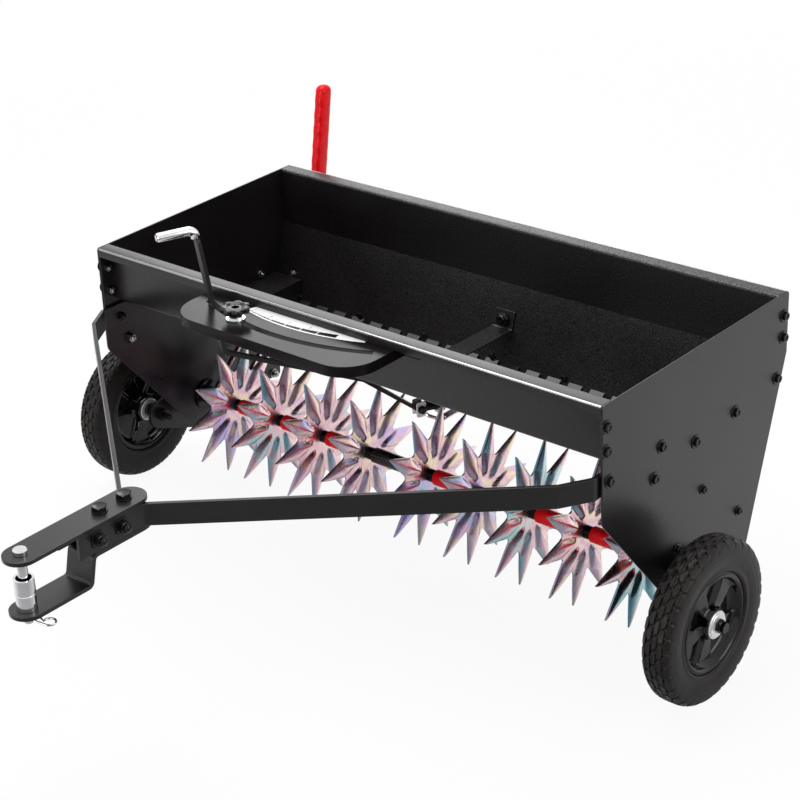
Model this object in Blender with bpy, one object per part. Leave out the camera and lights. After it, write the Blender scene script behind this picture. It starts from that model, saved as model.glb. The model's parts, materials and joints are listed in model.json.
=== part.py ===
"""Tow-behind drop spreader over a star-tine spiker reel, as separate solids.

Metres. +X is the viewer's right when facing the front, -Y is the direction of travel
and +Z is up. The floor is Z = 0 and the machine stands on its two wheels.
Sheet and bar shapes are drawn as (across, up) profiles and extruded, and every piece
is seated from the named sizes below with the named clearances.
"""

import math

import bmesh
import bpy
from mathutils import Matrix, Vector

# Clearances
SEAT = 0.0003          # between two pieces that are bolted or welded together
RUN = 0.0004           # all round between a turning piece and what it turns in
SWING = 0.0012         # between pieces that pass each other

# Hopper
HOPPER_WIDTH = 0.800   # over the end plates
HOPPER_DEPTH = 0.378   # along the end plates' top edges
END_PLATE = 0.002      # end plate sheet
SHEET = 0.0015         # hopper sheet
END_FRONT = 0.147      # vertical part of its front edge
END_REAR = 0.079       # vertical part of its rear edge
FOOT_FRONT = -0.052    # foot of the end plate, front corner
FOOT_REAR = 0.112      # foot of the end plate, rear corner
STOP_TAB_REACH = 0.027 # transport stop's tab behind the left plate's foot
STOP_TAB_HEIGHT = 0.036
LIP_REACH = 0.021      # width of the hopper's top lips
LIP_HEM = 0.012        # down-turned edge of the top lips
FRONT_DROP = 0.077     # rim to the bend of the front wall
REAR_DROP = 0.079      # rim to the bend of the rear wall
REAR_LEAN = 0.3375     # forward run of the rear wall per unit of drop
TROUGH_DEPTH = 0.2215  # rim to the trough bottom
TROUGH_FRONT = 0.075   # front edge of the trough bottom
TROUGH_RISE = 0.0065   # trough bottom to the end of the front wall
FLANGE = 0.018         # end flanges of the hopper walls
BEND = 0.003           # inside bends of the sheets
STRAP_X = 0.008
STRAP_WIDTH = 0.032
PANEL_Y = HOPPER_DEPTH / 2 - LIP_REACH
REAR_SLOPE = (TROUGH_DEPTH - REAR_DROP) * math.hypot(REAR_LEAN, 1.0)

# Outlets and shutter, measured down the rear wall from its bend
OUTLETS = 21
OUTLET_PITCH = 0.0334
OUTLET_OFFSET = 0.012  # middle outlet from the machine's middle
OUTLET_WIDTH = 0.015
OUTLET_TOP = REAR_SLOPE - 0.0384
OUTLET_HEIGHT = 0.022
SHUTTER_TOP = OUTLET_TOP - 0.0045
SHUTTER_HEIGHT = 0.031
RAIL_FOOT = 0.0125
RAIL_LAP = 0.004
SHUTTER_END = 0.372    # reach of the shutter to the right
SHUTTER_START = -0.345

# Spiker reel
STARS_PER_SIDE = (4, 5)
STAR_POINTS = 10
STAR_RADIUS = 0.0964
STAR_NOTCH = 0.052     # radius of the notches between points
STAR_FLAT = 0.030      # flat middle of the disc
STAR_SHEET = 0.0024
STAR_RIDGE = 0.0045    # height of the pressed ridge on each point
STAR_PITCH = 0.0814
STAR_GAP = 0.1041      # between the two groups, over the lever pivot
STAR_FIRST = -0.3369
STAR_PHASE = 0.297     # turn of the stars at rest
HUB_RADIUS = 0.0085
HUB_LENGTH = 0.010
SPACER_RADIUS = 0.0105
AXLE_RADIUS = 0.0065
REEL_Y = -0.015
REEL_DROP = TROUGH_DEPTH + 0.062
END_HEIGHT = REEL_DROP + 0.0285

# Wheels and transport gear
WHEEL_RADIUS = 0.1012
WHEEL_WIDTH = 0.0370
WHEEL_IN = HOPPER_WIDTH / 2 + 0.047
WHEEL_Y = -0.0855
WHEEL_DROP = REEL_DROP + 0.010
RIM_SEAT = 0.0620      # radius where the tyre sits on the rim
RIM_WEB = 0.005
SPOKE_PHASE = 0.785
SPOKE_HALVES = (0.0055, 0.0135)
SPOKE_RISE = 0.006
HUB_OUTER = 0.0185
HUB_RECESS = 0.001     # end of the hub below the tyre's outer face
STUB_RADIUS = 0.006
CRANK_BAR = 0.005
CRANK_SET = 0.0185     # end plate to the crank's inner face
CRANK_BOSS = 0.013
CRANK_NOSE = 0.021     # radius round the stub axle
CRANK_MIDDLE = 0.024   # radius round the cross axle
CRANK_HEEL = (0.022, REEL_DROP + 0.0345, 0.037)
LEVER_BAR = 0.006
LEVER_WIDTH = 0.016
LEVER_BACK = HOPPER_DEPTH / 2
LEVER_LOW = (LEVER_BACK + 0.037, -0.105)
LEVER_KNEE = (LEVER_BACK + 0.0635, -0.050)
LEVER_TOP = (LEVER_BACK + 0.083, 0.081)
LEVER_BEND = 0.030
GRIP_LENGTH = 0.126
GRIP_WALL = 0.0026

# Agitator
AGITATOR_Y = TROUGH_FRONT + 0.013
AGITATOR_DROP = TROUGH_DEPTH - 0.0295
AGITATOR_RADIUS = 0.005
FINGER_REACH = 0.019
FINGER_RADIUS = 0.0025
FINGER_PITCH = 0.0668
SPROCKET_RADIUS = 0.021
SPROCKET_TEETH = 12
SPROCKET_WIDTH = 0.003
CHAIN_X = -0.3655
CHAIN_WIDTH = 0.006
CHAIN_DEPTH = 0.004
COVER_X = CHAIN_X + 0.0205

# Flow control
PIVOT_X = STAR_FIRST + 3 * STAR_PITCH + STAR_GAP / 2
PIVOT_Y = 0.071
SLOT_SPACE = 0.0486    # front lip to the middle of the slot
SLOT_RADIUS = PIVOT_Y + HOPPER_DEPTH / 2 + SLOT_SPACE
SLOT_WIDTH = 0.009
SLOT_ANGLE = 25.6
LEVER_REST = -24.0     # photographed place of the lever in its slot
LEVER_SWEEP = 44.0     # the stop runs ahead of it to the end of the slot
STOP_REST = -12.3
TRAY_DROP = 0.012
TRAY_SKIRT = 0.014
TRAY_LEFT = -0.194
TRAY_RIGHT = 0.109
TRAY_FRONT = PIVOT_Y - SLOT_RADIUS - 0.0279
TRAY_CORNER = 0.045
CONTROL_BAR = 0.005
CONTROL_WIDTH = 0.010
CONTROL_KNEE = FRONT_DROP + 0.0052
CONTROL_CLEAR = 0.0108 # front wall to the lever's middle below it
CONTROL_TOP = 0.0845   # rim to the end of the lever's bar
CONTROL_LEAN = 0.15
HANDLE_RADIUS = 0.0057
HANDLE_REACH = SLOT_RADIUS + 0.0654
LINK_RADIUS = 0.0200
LINK_ROD = 0.0025
LINK_DROP = 0.0060     # lever to the shutter's lug below it
LUG_STEP = 1           # outlets from the middle one to the lug
BRACKET_SHEET = 0.003
KNOB_RADIUS = 0.017
KNOB_HEIGHT = 0.012
KNOB_NECK = 0.0055

# Tongue and hitch
TONGUE_BAR = 0.005
TONGUE_HEIGHT = 0.0278
TONGUE_DROP = 0.0858   # rim to the bars' top edge
TONGUE_DIP = 0.011     # further drop from the bend to the hitch
TONGUE_BEND = (HOPPER_WIDTH / 2 - 0.028, -0.232)
TONGUE_JOIN = -0.519
TONGUE_NOSE = -0.618
TONGUE_HALF = 0.0185   # bars from the middle at the hitch
HITCH_WIDTH = 0.042
HITCH_SHEET = 0.005
HITCH_PIN_Y = -0.683
HITCH_REAR = -0.502
HITCH_STEP_Y = -0.602
HITCH_GAP = 0.063      # between the two plates at the pin
PIN_RADIUS = 0.006
PIN_HEAD = 0.0083
SLEEVE_RADIUS = 0.0118
SLEEVE_WALL = 0.0026
SLEEVE_HEIGHT = 0.038

RIM = WHEEL_DROP + WHEEL_RADIUS
HALF = HOPPER_WIDTH / 2
INSIDE = HALF - END_PLATE
TAU = 2 * math.pi


def clear_scene():
    for item in list(bpy.data.objects):
        bpy.data.objects.remove(item, do_unlink=True)


def material(name, colour, metallic, roughness):
    made = bpy.data.materials.get(name)
    if made is None:
        made = bpy.data.materials.new(name)
        made.use_nodes = True
        shader = made.node_tree.nodes["Principled BSDF"]
        shader.inputs["Base Color"].default_value = (*colour, 1.0)
        shader.inputs["Metallic"].default_value = metallic
        shader.inputs["Roughness"].default_value = roughness
    return made


def black_coat():
    return material("black_powder_coat", (0.018, 0.018, 0.020), 0.0, 0.42)


def zinc():
    return material("yellow_zinc_steel", (0.62, 0.50, 0.56), 1.0, 0.34)


def bright_steel():
    return material("bright_plated_steel", (0.78, 0.78, 0.80), 1.0, 0.18)


def red_paint():
    return material("red_plastic", (0.72, 0.012, 0.012), 0.0, 0.30)


def rubber():
    return material("black_rubber", (0.022, 0.022, 0.024), 0.0, 0.80)


def moulding():
    return material("black_moulding", (0.012, 0.012, 0.013), 0.0, 0.22)


def place(name, bm, finish, origin=(0.0, 0.0, 0.0)):
    """Turn a bmesh in world coordinates into an object whose origin is given."""
    bm.normal_update()
    bmesh.ops.recalc_face_normals(bm, faces=bm.faces)
    bmesh.ops.translate(bm, verts=bm.verts, vec=-Vector(origin))
    mesh = bpy.data.meshes.new(name)
    bm.to_mesh(mesh)
    bm.free()
    mesh.materials.append(finish)
    item = bpy.data.objects.new(name, mesh)
    item.location = origin
    bpy.context.scene.collection.objects.link(item)
    return item


def soften(item, angle=35.0):
    """Shade round faces smooth and keep edges sharper than the angle."""
    mesh = item.data
    mesh.polygons.foreach_set("use_smooth", [True] * len(mesh.polygons))
    bm = bmesh.new()
    bm.from_mesh(mesh)
    limit = math.radians(angle)
    for edge in bm.edges:
        if len(edge.link_faces) == 2:
            edge.smooth = edge.calc_face_angle(0.0) < limit
    bm.to_mesh(mesh)
    bm.free()
    return item


def circle(across, up, radius, count, turn=0.0):
    steps = [turn + TAU * k / count for k in range(count)]
    return [(across + radius * math.cos(a), up + radius * math.sin(a)) for a in steps]


def fillet(before, corner, after, radius, steps):
    """Points of an arc that rounds one corner of a path."""
    here = Vector(corner)
    back = (Vector(before) - here).normalized()
    on = (Vector(after) - here).normalized()
    half = back.angle(on) / 2
    reach = min(radius / math.tan(half), 0.49 * (Vector(before) - here).length,
                0.49 * (Vector(after) - here).length)
    radius = reach * math.tan(half)
    centre = here + (back + on).normalized() * (radius / math.sin(half))
    first = here + back * reach - centre
    last = here + on * reach - centre
    sweep = math.atan2(first.x * last.y - first.y * last.x, first.dot(last))
    points = []
    for k in range(steps + 1):
        turn = Matrix.Rotation(sweep * k / steps, 2)
        points.append(tuple(centre + turn @ first))
    return points


def rounded(outline, radii, steps=4):
    """Round the corners of a closed outline; a radius of 0 keeps a corner."""
    made = []
    count = len(outline)
    for k, corner in enumerate(outline):
        radius = radii[k] if isinstance(radii, (list, tuple)) else radii
        if radius <= 0:
            made.append(tuple(corner))
        else:
            before = outline[k - 1]
            after = outline[(k + 1) % count]
            made.extend(fillet(before, corner, after, radius, steps))
    return made


def bent(path, radius, steps=2):
    """Round the inner corners of an open path."""
    made = [tuple(path[0])]
    for k in range(1, len(path) - 1):
        made.extend(fillet(path[k - 1], path[k], path[k + 1], radius, steps))
    made.append(tuple(path[-1]))
    return made


def ribbon(path, thickness):
    """Closed outline of a strip of constant thickness centred on an open path."""
    points = [Vector(p) for p in path]
    left = []
    right = []
    for k, here in enumerate(points):
        into = (here - points[k - 1]).normalized() if k else None
        out = (points[k + 1] - here).normalized() if k < len(points) - 1 else None
        into = into or out
        out = out or into
        along = (into + out).normalized()
        side = Vector((-along.y, along.x))
        reach = thickness / 2 / max(0.3, along.dot(out))
        left.append(tuple(here + side * reach))
        right.append(tuple(here - side * reach))
    return left + right[::-1]


def spot(axis, across, up, along):
    """World point of profile coordinates extruded along one axis."""
    if axis == "X":
        return (along, across, up)
    if axis == "Y":
        return (across, along, up)
    return (across, up, along)


def prism_mesh(axis, outline, start, end, holes=()):
    bm = bmesh.new()
    edges = []
    for loop in [outline, *holes]:
        ring = [bm.verts.new(spot(axis, a, u, start)) for a, u in loop]
        edges += [bm.edges.new((ring[k - 1], ring[k])) for k in range(len(ring))]
    bmesh.ops.triangle_fill(bm, use_beauty=True, edges=edges)
    bmesh.ops.recalc_face_normals(bm, faces=bm.faces)
    raised = bmesh.ops.extrude_face_region(bm, geom=list(bm.faces))
    verts = [g for g in raised["geom"] if isinstance(g, bmesh.types.BMVert)]
    shift = Vector(spot(axis, 0.0, 0.0, end - start))
    bmesh.ops.translate(bm, verts=verts, vec=shift)
    bmesh.ops.dissolve_limit(bm, angle_limit=math.radians(0.2), verts=bm.verts,
                             edges=bm.edges, delimit={"NORMAL"})
    bmesh.ops.triangulate(bm, faces=[f for f in bm.faces if len(f.verts) > 4])
    return bm


def prism(name, axis, outline, start, end, finish, holes=(), origin=(0, 0, 0)):
    return place(name, prism_mesh(axis, outline, start, end, holes), finish, origin)


def lathe_mesh(profile, centre, axis, count):
    """Revolve a closed (radius, along) profile about an axis through a centre."""
    bm = bmesh.new()
    rings = []
    for k in range(count):
        angle = TAU * k / count
        ring = []
        for radius, along in profile:
            if axis == "X":
                point = (along, radius * math.cos(angle), radius * math.sin(angle))
            else:
                point = (radius * math.cos(angle), radius * math.sin(angle), along)
            ring.append(bm.verts.new(Vector(point) + Vector(centre)))
        rings.append(ring)
    size = len(profile)
    for k in range(count):
        for j in range(size):
            one, two = rings[k], rings[(k + 1) % count]
            bm.faces.new((one[j], one[(j + 1) % size], two[(j + 1) % size], two[j]))
    bmesh.ops.remove_doubles(bm, verts=bm.verts, dist=1e-7)
    return bm


def lathe(name, profile, centre, axis, count, finish):
    item = place(name, lathe_mesh(profile, centre, axis, count), finish, centre)
    return soften(item)


def rod_mesh(path, radius, sides):
    """Round rod along a path of points, capped at both ends."""
    bm = bmesh.new()
    points = [Vector(p) for p in path]
    rings = []
    first = (points[1] - points[0]).normalized()
    guide = Vector((0, 0, 1)) if abs(first.z) < 0.9 else Vector((1, 0, 0))
    side = first.cross(guide).normalized()
    for k, here in enumerate(points):
        into = (here - points[k - 1]).normalized() if k else first
        out = (points[k + 1] - here).normalized() if k < len(points) - 1 else into
        along = (into + out).normalized()
        side = (side - along * side.dot(along)).normalized()
        other = along.cross(side)
        ring = []
        for j in range(sides):
            angle = TAU * j / sides
            reach = side * math.cos(angle) + other * math.sin(angle)
            ring.append(bm.verts.new(here + reach * radius))
        rings.append(ring)
    for one, two in zip(rings, rings[1:]):
        for j in range(sides):
            bm.faces.new((one[j - 1], one[j], two[j], two[j - 1]))
    bm.faces.new(rings[0][::-1])
    bm.faces.new(rings[-1])
    return bm


def rod(name, path, radius, sides, finish, origin=(0, 0, 0)):
    return soften(place(name, rod_mesh(path, radius, sides), finish, origin))


def combine(item, tools, operation):
    """Union or difference with exact booleans, then drop the tools."""
    for tool in tools:
        step = item.modifiers.new("shape", "BOOLEAN")
        step.operation = operation
        step.solver = "EXACT"
        step.object = tool
    bpy.context.view_layer.update()
    graph = bpy.context.evaluated_depsgraph_get()
    mesh = bpy.data.meshes.new_from_object(item.evaluated_get(graph))
    mesh.name = item.name
    item.modifiers.clear()
    item.data = mesh
    for tool in tools:
        bpy.data.objects.remove(tool, do_unlink=True)
    return item


def block(axis, outline, start, end):
    return prism("tool", axis, outline, start, end, black_coat())


def pin_tool(centre, radius, start, end, axis="Z", count=16):
    return block(axis, circle(*centre, radius, count), start, end)


def down(*points):
    """(y, drop below the rim) to (y, z)."""
    return [(y, RIM - drop) for y, drop in points]


def rear_wall(distance, out=0.0):
    """(y, z) at a distance down the rear wall's slope and out from its middle."""
    length = math.hypot(REAR_LEAN, 1.0)
    along = (-REAR_LEAN / length, -1.0 / length)
    normal = (1.0 / length, -REAR_LEAN / length)
    y = PANEL_Y + along[0] * distance + normal[0] * out
    z = RIM - REAR_DROP + along[1] * distance + normal[1] * out
    return (y, z)


def trough_rear():
    """y of the rear wall where it meets the trough bottom."""
    return PANEL_Y - REAR_LEAN * (TROUGH_DEPTH - REAR_DROP)


def front_slope():
    """Drop per unit of run of the front wall below its bend."""
    return (TROUGH_DEPTH - TROUGH_RISE - FRONT_DROP) / (PANEL_Y + TROUGH_FRONT)


def reel_centre(x=0.0):
    return (x, REEL_Y, RIM - REEL_DROP)


def wheel_centre(side):
    return (side * (WHEEL_IN + WHEEL_WIDTH / 2), WHEEL_Y, RIM - WHEEL_DROP)


def star_places():
    first, second = STARS_PER_SIDE
    places = [STAR_FIRST + STAR_PITCH * k for k in range(first)]
    start = places[-1] + STAR_GAP
    return places + [start + STAR_PITCH * k for k in range(second)]


def end_plates():
    half = HOPPER_DEPTH / 2
    outline = down((-half, 0), (-half, END_FRONT), (FOOT_FRONT, END_HEIGHT),
                   (FOOT_REAR, END_HEIGHT), (half, END_REAR), (half, 0))
    outline = rounded(outline, [0.004, 0.014, 0.010, 0.010, 0.008, 0.004])
    axle = circle(REEL_Y, RIM - REEL_DROP, AXLE_RADIUS + RUN, 20)
    shaft = circle(AGITATOR_Y, RIM - AGITATOR_DROP, AGITATOR_RADIUS + RUN, 16)
    plate = prism("end_plate_left", "X", outline, -HALF, -INSIDE, black_coat(),
                  [axle, shaft])
    tab = down((FOOT_REAR - 0.020, END_HEIGHT - STOP_TAB_HEIGHT),
               (FOOT_REAR + STOP_TAB_REACH, END_HEIGHT - STOP_TAB_HEIGHT),
               (FOOT_REAR + STOP_TAB_REACH, END_HEIGHT), (FOOT_REAR - 0.020, END_HEIGHT))
    combine(plate, [block("X", rounded(tab, 0.004), -HALF, -INSIDE)], "UNION")
    prism("end_plate_right", "X", outline, INSIDE, HALF, black_coat(), [axle])


def chain_slot():
    """Cutter for the opening that the drive chain passes through."""
    half = CHAIN_WIDTH / 2 + 0.006
    outline = down((0.022, 0.150), (0.022, 0.235), (0.1185, 0.235), (0.1185, 0.150))
    return block("X", outline, CHAIN_X - half, CHAIN_X + half)


def front_wall():
    edge = HOPPER_DEPTH / 2 - SHEET / 2
    path = down((-edge, LIP_HEM), (-edge, SHEET / 2), (-PANEL_Y, SHEET / 2),
                (-PANEL_Y, FRONT_DROP), (TROUGH_FRONT, TROUGH_DEPTH - TROUGH_RISE))
    reach = INSIDE - SEAT
    wall = prism("hopper_front_panel", "X", ribbon(bent(path, BEND), SHEET),
                 -reach, reach, black_coat())
    slope = front_slope()
    end_y = TROUGH_FRONT - 0.012
    end_drop = FRONT_DROP + slope * (end_y + PANEL_Y)
    flange = down((-edge, SHEET * 1.4), (-PANEL_Y + SHEET / 4, SHEET * 1.4),
                  (-PANEL_Y + SHEET / 4, FRONT_DROP), (end_y, end_drop),
                  (end_y - 0.008, end_drop + FLANGE * 0.8),
                  (-edge, FRONT_DROP + FLANGE * 0.55))
    sides = [block("X", flange, -reach, -reach + SHEET),
             block("X", flange, reach - SHEET, reach)]
    combine(wall, sides, "UNION")
    combine(wall, [chain_slot()], "DIFFERENCE")


def outlet_places():
    middle = (OUTLETS - 1) / 2
    return [OUTLET_OFFSET + OUTLET_PITCH * (k - middle) for k in range(OUTLETS)]


def slope_cutter(x, width, top, height, out_from, out_to):
    outline = [rear_wall(top, out_from), rear_wall(top + height, out_from),
               rear_wall(top + height, out_to), rear_wall(top, out_to)]
    return block("X", outline, x - width / 2, x + width / 2)


def join_tools(tools):
    """Merge separate cutters into one object."""
    bm = bmesh.new()
    for tool in tools:
        bm.from_mesh(tool.data)
        bpy.data.objects.remove(tool, do_unlink=True)
    return place("tool", bm, black_coat())


def rear_panel():
    edge = HOPPER_DEPTH / 2 - SHEET / 2
    path = down((edge, LIP_HEM), (edge, SHEET / 2), (PANEL_Y, SHEET / 2),
                (PANEL_Y, REAR_DROP), (trough_rear(), TROUGH_DEPTH),
                (TROUGH_FRONT + 0.004, TROUGH_DEPTH))
    reach = INSIDE - SEAT
    wall = prism("hopper_rear_panel", "X", ribbon(bent(path, BEND), SHEET),
                 -reach, reach, black_coat())
    low = rear_wall(OUTLET_TOP - 0.016, 0.0)
    low_out = rear_wall(OUTLET_TOP - 0.024, FLANGE * 0.9)
    flange = down((edge, SHEET * 1.4), (PANEL_Y - SHEET / 4, SHEET * 1.4),
                  (PANEL_Y - SHEET / 4, REAR_DROP))
    flange += [low, low_out, (edge, RIM - REAR_DROP - 0.004)]
    sides = [block("X", flange, -reach, -reach + SHEET),
             block("X", flange, reach - SHEET, reach)]
    combine(wall, sides, "UNION")
    cuts = [slope_cutter(x, OUTLET_WIDTH, OUTLET_TOP, OUTLET_HEIGHT, -0.004, 0.004)
            for x in outlet_places()]
    combine(wall, [join_tools(cuts)], "DIFFERENCE")
    combine(wall, [chain_slot()], "DIFFERENCE")


def shutter_rails():
    """Two Z strips on the rear wall that hold the shutter's edges."""
    step = SHEET / 2 + SEAT
    over = step + SHEET + 2 * RUN
    foot_end = SHUTTER_TOP - RUN
    upper = [rear_wall(foot_end - RAIL_FOOT, step), rear_wall(foot_end, step),
             rear_wall(foot_end, over), rear_wall(foot_end + RAIL_LAP, over),
             rear_wall(foot_end + RAIL_LAP, over + SHEET),
             rear_wall(foot_end - SHEET, over + SHEET),
             rear_wall(foot_end - SHEET, step + SHEET),
             rear_wall(foot_end - RAIL_FOOT, step + SHEET)]
    start = SHUTTER_TOP + SHUTTER_HEIGHT + RUN
    foot = 0.0085
    lower = [rear_wall(start + foot, step), rear_wall(start, step),
             rear_wall(start, over), rear_wall(start - RAIL_LAP, over),
             rear_wall(start - RAIL_LAP, over + SHEET),
             rear_wall(start + SHEET, over + SHEET),
             rear_wall(start + SHEET, step + SHEET),
             rear_wall(start + foot, step + SHEET)]
    reach = INSIDE - SEAT
    prism("shutter_rail_upper", "X", upper, -reach + 0.004, reach - 0.004, black_coat())
    prism("shutter_rail_lower", "X", lower, SHUTTER_START, reach - 0.004, black_coat())


def shutter_travel():
    first = math.radians(LEVER_REST)
    last = math.radians(LEVER_REST + LEVER_SWEEP)
    return LINK_RADIUS * (math.sin(last) - math.sin(first))


def pivot_levels():
    """Z of the bracket's underside and of the lever's two faces at the pivot."""
    bracket = RIM - TROUGH_DEPTH - SHEET / 2 - SEAT - BRACKET_SHEET
    top = bracket - RUN
    return bracket, top, top - CONTROL_BAR


def lever_point(distance, angle):
    """(x, y) at a distance from the lever pivot, angle from straight ahead."""
    turn = math.radians(angle)
    return (PIVOT_X + distance * math.sin(turn), PIVOT_Y - distance * math.cos(turn))


def lug_place():
    """The shutter's lug stands between two of its holes, level with the lever's end."""
    y = lever_point(LINK_RADIUS, LEVER_REST)[1]
    return (OUTLET_OFFSET - shutter_travel() + OUTLET_PITCH * (0.5 - LUG_STEP), y)


def shutter():
    """Slotted strip behind the rear wall, with the lug that the link pulls."""
    inner = SHEET / 2 + SEAT + RUN
    outline = [rear_wall(SHUTTER_TOP, inner),
               rear_wall(SHUTTER_TOP + SHUTTER_HEIGHT, inner),
               rear_wall(SHUTTER_TOP + SHUTTER_HEIGHT, inner + SHEET),
               rear_wall(SHUTTER_TOP, inner + SHEET)]
    strip = prism("shutter_plate", "X", outline, SHUTTER_START, SHUTTER_END, zinc())
    travel = shutter_travel()
    top = OUTLET_TOP - 0.0005
    cuts = [slope_cutter(x - travel, OUTLET_WIDTH, top, OUTLET_HEIGHT + 0.001, 0.0, 0.006)
            for x in outlet_places() if x - travel - OUTLET_WIDTH > SHUTTER_START]
    lug_x, lug_y = lug_place()
    level = pivot_levels()[2] - LINK_DROP
    start = rear_wall(SHUTTER_TOP + SHUTTER_HEIGHT / 2, inner + SHEET / 2)
    knee = rear_wall(SHUTTER_TOP + SHUTTER_HEIGHT / 2, inner + 0.014)
    path = [start, knee, (knee[0] - 0.004, level), (lug_y - 0.009, level)]
    lug = block("X", ribbon(bent(path, 0.004), 0.002), lug_x - 0.006, lug_x + 0.006)
    combine(strip, [join_tools(cuts)], "DIFFERENCE")
    combine(strip, [lug], "UNION")
    side = LINK_ROD + RUN
    hole = [(lug_x - side, lug_y - 0.0055), (lug_x + side, lug_y - 0.0055),
            (lug_x + side, lug_y + 0.0055), (lug_x - side, lug_y + 0.0055)]
    combine(strip, [block("Z", hole, level - 0.01, level + 0.01)], "DIFFERENCE")


def tie_strap():
    """Centre tie between the walls, with a bolted tab at each end."""
    level = 0.124
    rear_y = PANEL_Y - REAR_LEAN * (level - REAR_DROP)
    lean = Vector((-REAR_LEAN, -1.0)).normalized()
    inward = SHEET / 2 + SEAT + 0.001
    top = Vector((rear_y, RIM - level)) - Vector((inward, 0))
    tab_end = top - lean * 0.013
    foot = top + lean * 0.012
    slope = front_slope()
    front_y = -PANEL_Y + SHEET / 2 + SEAT + 0.001
    landing = (foot.x - 0.215, foot.y)
    reach = FRONT_DROP + slope * (landing[0] + PANEL_Y)
    lift = (SHEET / 2 + SEAT + 0.001) * math.hypot(1.0, slope)
    rise_y = landing[0]
    rise = (rise_y, RIM - reach + lift)
    tail = (rise_y - 0.030, RIM - reach + lift + slope * 0.030)
    path = [tuple(tab_end), tuple(foot), rise, tail]
    if tail[0] < front_y:
        path[-1] = (front_y, path[-1][1])
    prism("centre_tie_strap", "X", ribbon(bent(path, BEND), 0.002), STRAP_X - STRAP_WIDTH / 2,
          STRAP_X + STRAP_WIDTH / 2, black_coat())


def drive_cover():
    """Folded cover over the agitator sprocket at the left end of the trough."""
    wall = SHEET / 2 + SEAT
    top_drop = 0.150
    rear_y = PANEL_Y - REAR_LEAN * (top_drop - REAR_DROP) - wall - SHEET
    foot_y = 0.040
    foot_drop = FRONT_DROP + front_slope() * (foot_y + PANEL_Y) - wall - SHEET
    path = down((rear_y, top_drop), (0.078, top_drop), (foot_y, foot_drop))
    start = -INSIDE + SEAT
    cover = prism("agitator_drive_cover", "X", ribbon(path, SHEET), start, COVER_X,
                  black_coat())
    low_y = TROUGH_FRONT + 0.006
    low_rear = trough_rear() - wall - SHEET
    side = down((rear_y, top_drop), (0.078, top_drop), (foot_y, foot_drop),
                (low_y, TROUGH_DEPTH - 0.0052), (low_rear, TROUGH_DEPTH - 0.0052))
    shaft = circle(AGITATOR_Y, RIM - AGITATOR_DROP, AGITATOR_RADIUS + RUN, 16)
    end = prism("tool", "X", side, COVER_X - SHEET, COVER_X, black_coat(), [shaft])
    combine(cover, [end], "UNION")


def agitator():
    """Cross shaft with fingers, its bearing on the right and its sprocket."""
    y = AGITATOR_Y
    z = RIM - AGITATOR_DROP
    end = INSIDE - 0.003
    shaft = place("agitator_shaft",
                  prism_mesh("X", circle(y, z, AGITATOR_RADIUS, 16), -HALF, end),
                  zinc(), (0, y, z))
    fingers = []
    count = int((end - COVER_X - 0.06) / FINGER_PITCH) + 1
    for k in range(count):
        x = COVER_X + 0.030 + FINGER_PITCH * k
        turn = math.radians(45 if k % 2 else -45)
        reach = Vector((0, math.cos(turn), math.sin(turn))) * FINGER_REACH
        centre = Vector((x, y, z))
        mesh = rod_mesh([centre - reach, centre + reach], FINGER_RADIUS, 8)
        fingers.append(place("tool", mesh, zinc()))
    combine(shaft, fingers, "UNION")
    soften(shaft)
    boss = [(AGITATOR_RADIUS + RUN, INSIDE - 0.0105), (0.010, INSIDE - 0.0105),
            (0.010, INSIDE - 0.0025), (0.016, INSIDE - 0.0025), (0.016, INSIDE - SEAT),
            (AGITATOR_RADIUS + RUN, INSIDE - SEAT)]
    lathe("agitator_bearing", boss, (0, y, z), "X", 24, moulding())
    lathe_sprocket("agitator_sprocket", y, z, AGITATOR_RADIUS + SEAT)


def lathe_sprocket(name, y, z, bore):
    outline = []
    for k in range(SPROCKET_TEETH):
        for part, radius in ((0.0, 0.86), (0.3, 0.86), (0.42, 1.0), (0.88, 1.0)):
            angle = TAU * (k + part) / SPROCKET_TEETH
            reach = SPROCKET_RADIUS * radius
            outline.append((y + reach * math.cos(angle), z + reach * math.sin(angle)))
    half = SPROCKET_WIDTH / 2
    return prism(name, "X", outline, CHAIN_X - half, CHAIN_X + half, zinc(),
                 [circle(y, z, bore, 20)], (0, y, z))


def drive_chain():
    """Closed loop round both sprockets, held clear of their teeth."""
    low = Vector((REEL_Y, RIM - REEL_DROP))
    high = Vector((AGITATOR_Y, RIM - AGITATOR_DROP))
    lean = math.atan2(high.y - low.y, high.x - low.x)

    def loop(radius):
        points = []
        for k in range(13):
            angle = lean - math.pi / 2 + math.pi * k / 12
            points.append(tuple(high + radius * Vector((math.cos(angle), math.sin(angle)))))
        for k in range(13):
            angle = lean + math.pi / 2 + math.pi * k / 12
            points.append(tuple(low + radius * Vector((math.cos(angle), math.sin(angle)))))
        return points

    inner = SPROCKET_RADIUS + RUN
    half = CHAIN_WIDTH / 2
    prism("drive_chain", "X", loop(inner + CHAIN_DEPTH), CHAIN_X - half, CHAIN_X + half,
          zinc(), [loop(inner)])


def tray_outline(inset, rear):
    left = TRAY_LEFT + inset
    right = TRAY_RIGHT - inset
    front = TRAY_FRONT + inset
    outline = [(left, rear), (left, front), (right, front), (right, rear)]
    return rounded(outline, [0, TRAY_CORNER - inset, TRAY_CORNER - inset, 0], 7)


def slot_outline(radius, width, angle, steps=14):
    points = []
    half = math.radians(angle)
    for k in range(steps + 1):
        turn = -half + 2 * half * k / steps
        reach = radius + width / 2
        points.append((PIVOT_X + reach * math.sin(turn), PIVOT_Y - reach * math.cos(turn)))
    for k in range(steps + 1):
        turn = half - 2 * half * k / steps
        reach = radius - width / 2
        points.append((PIVOT_X + reach * math.sin(turn), PIVOT_Y - reach * math.cos(turn)))
    return points


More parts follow.
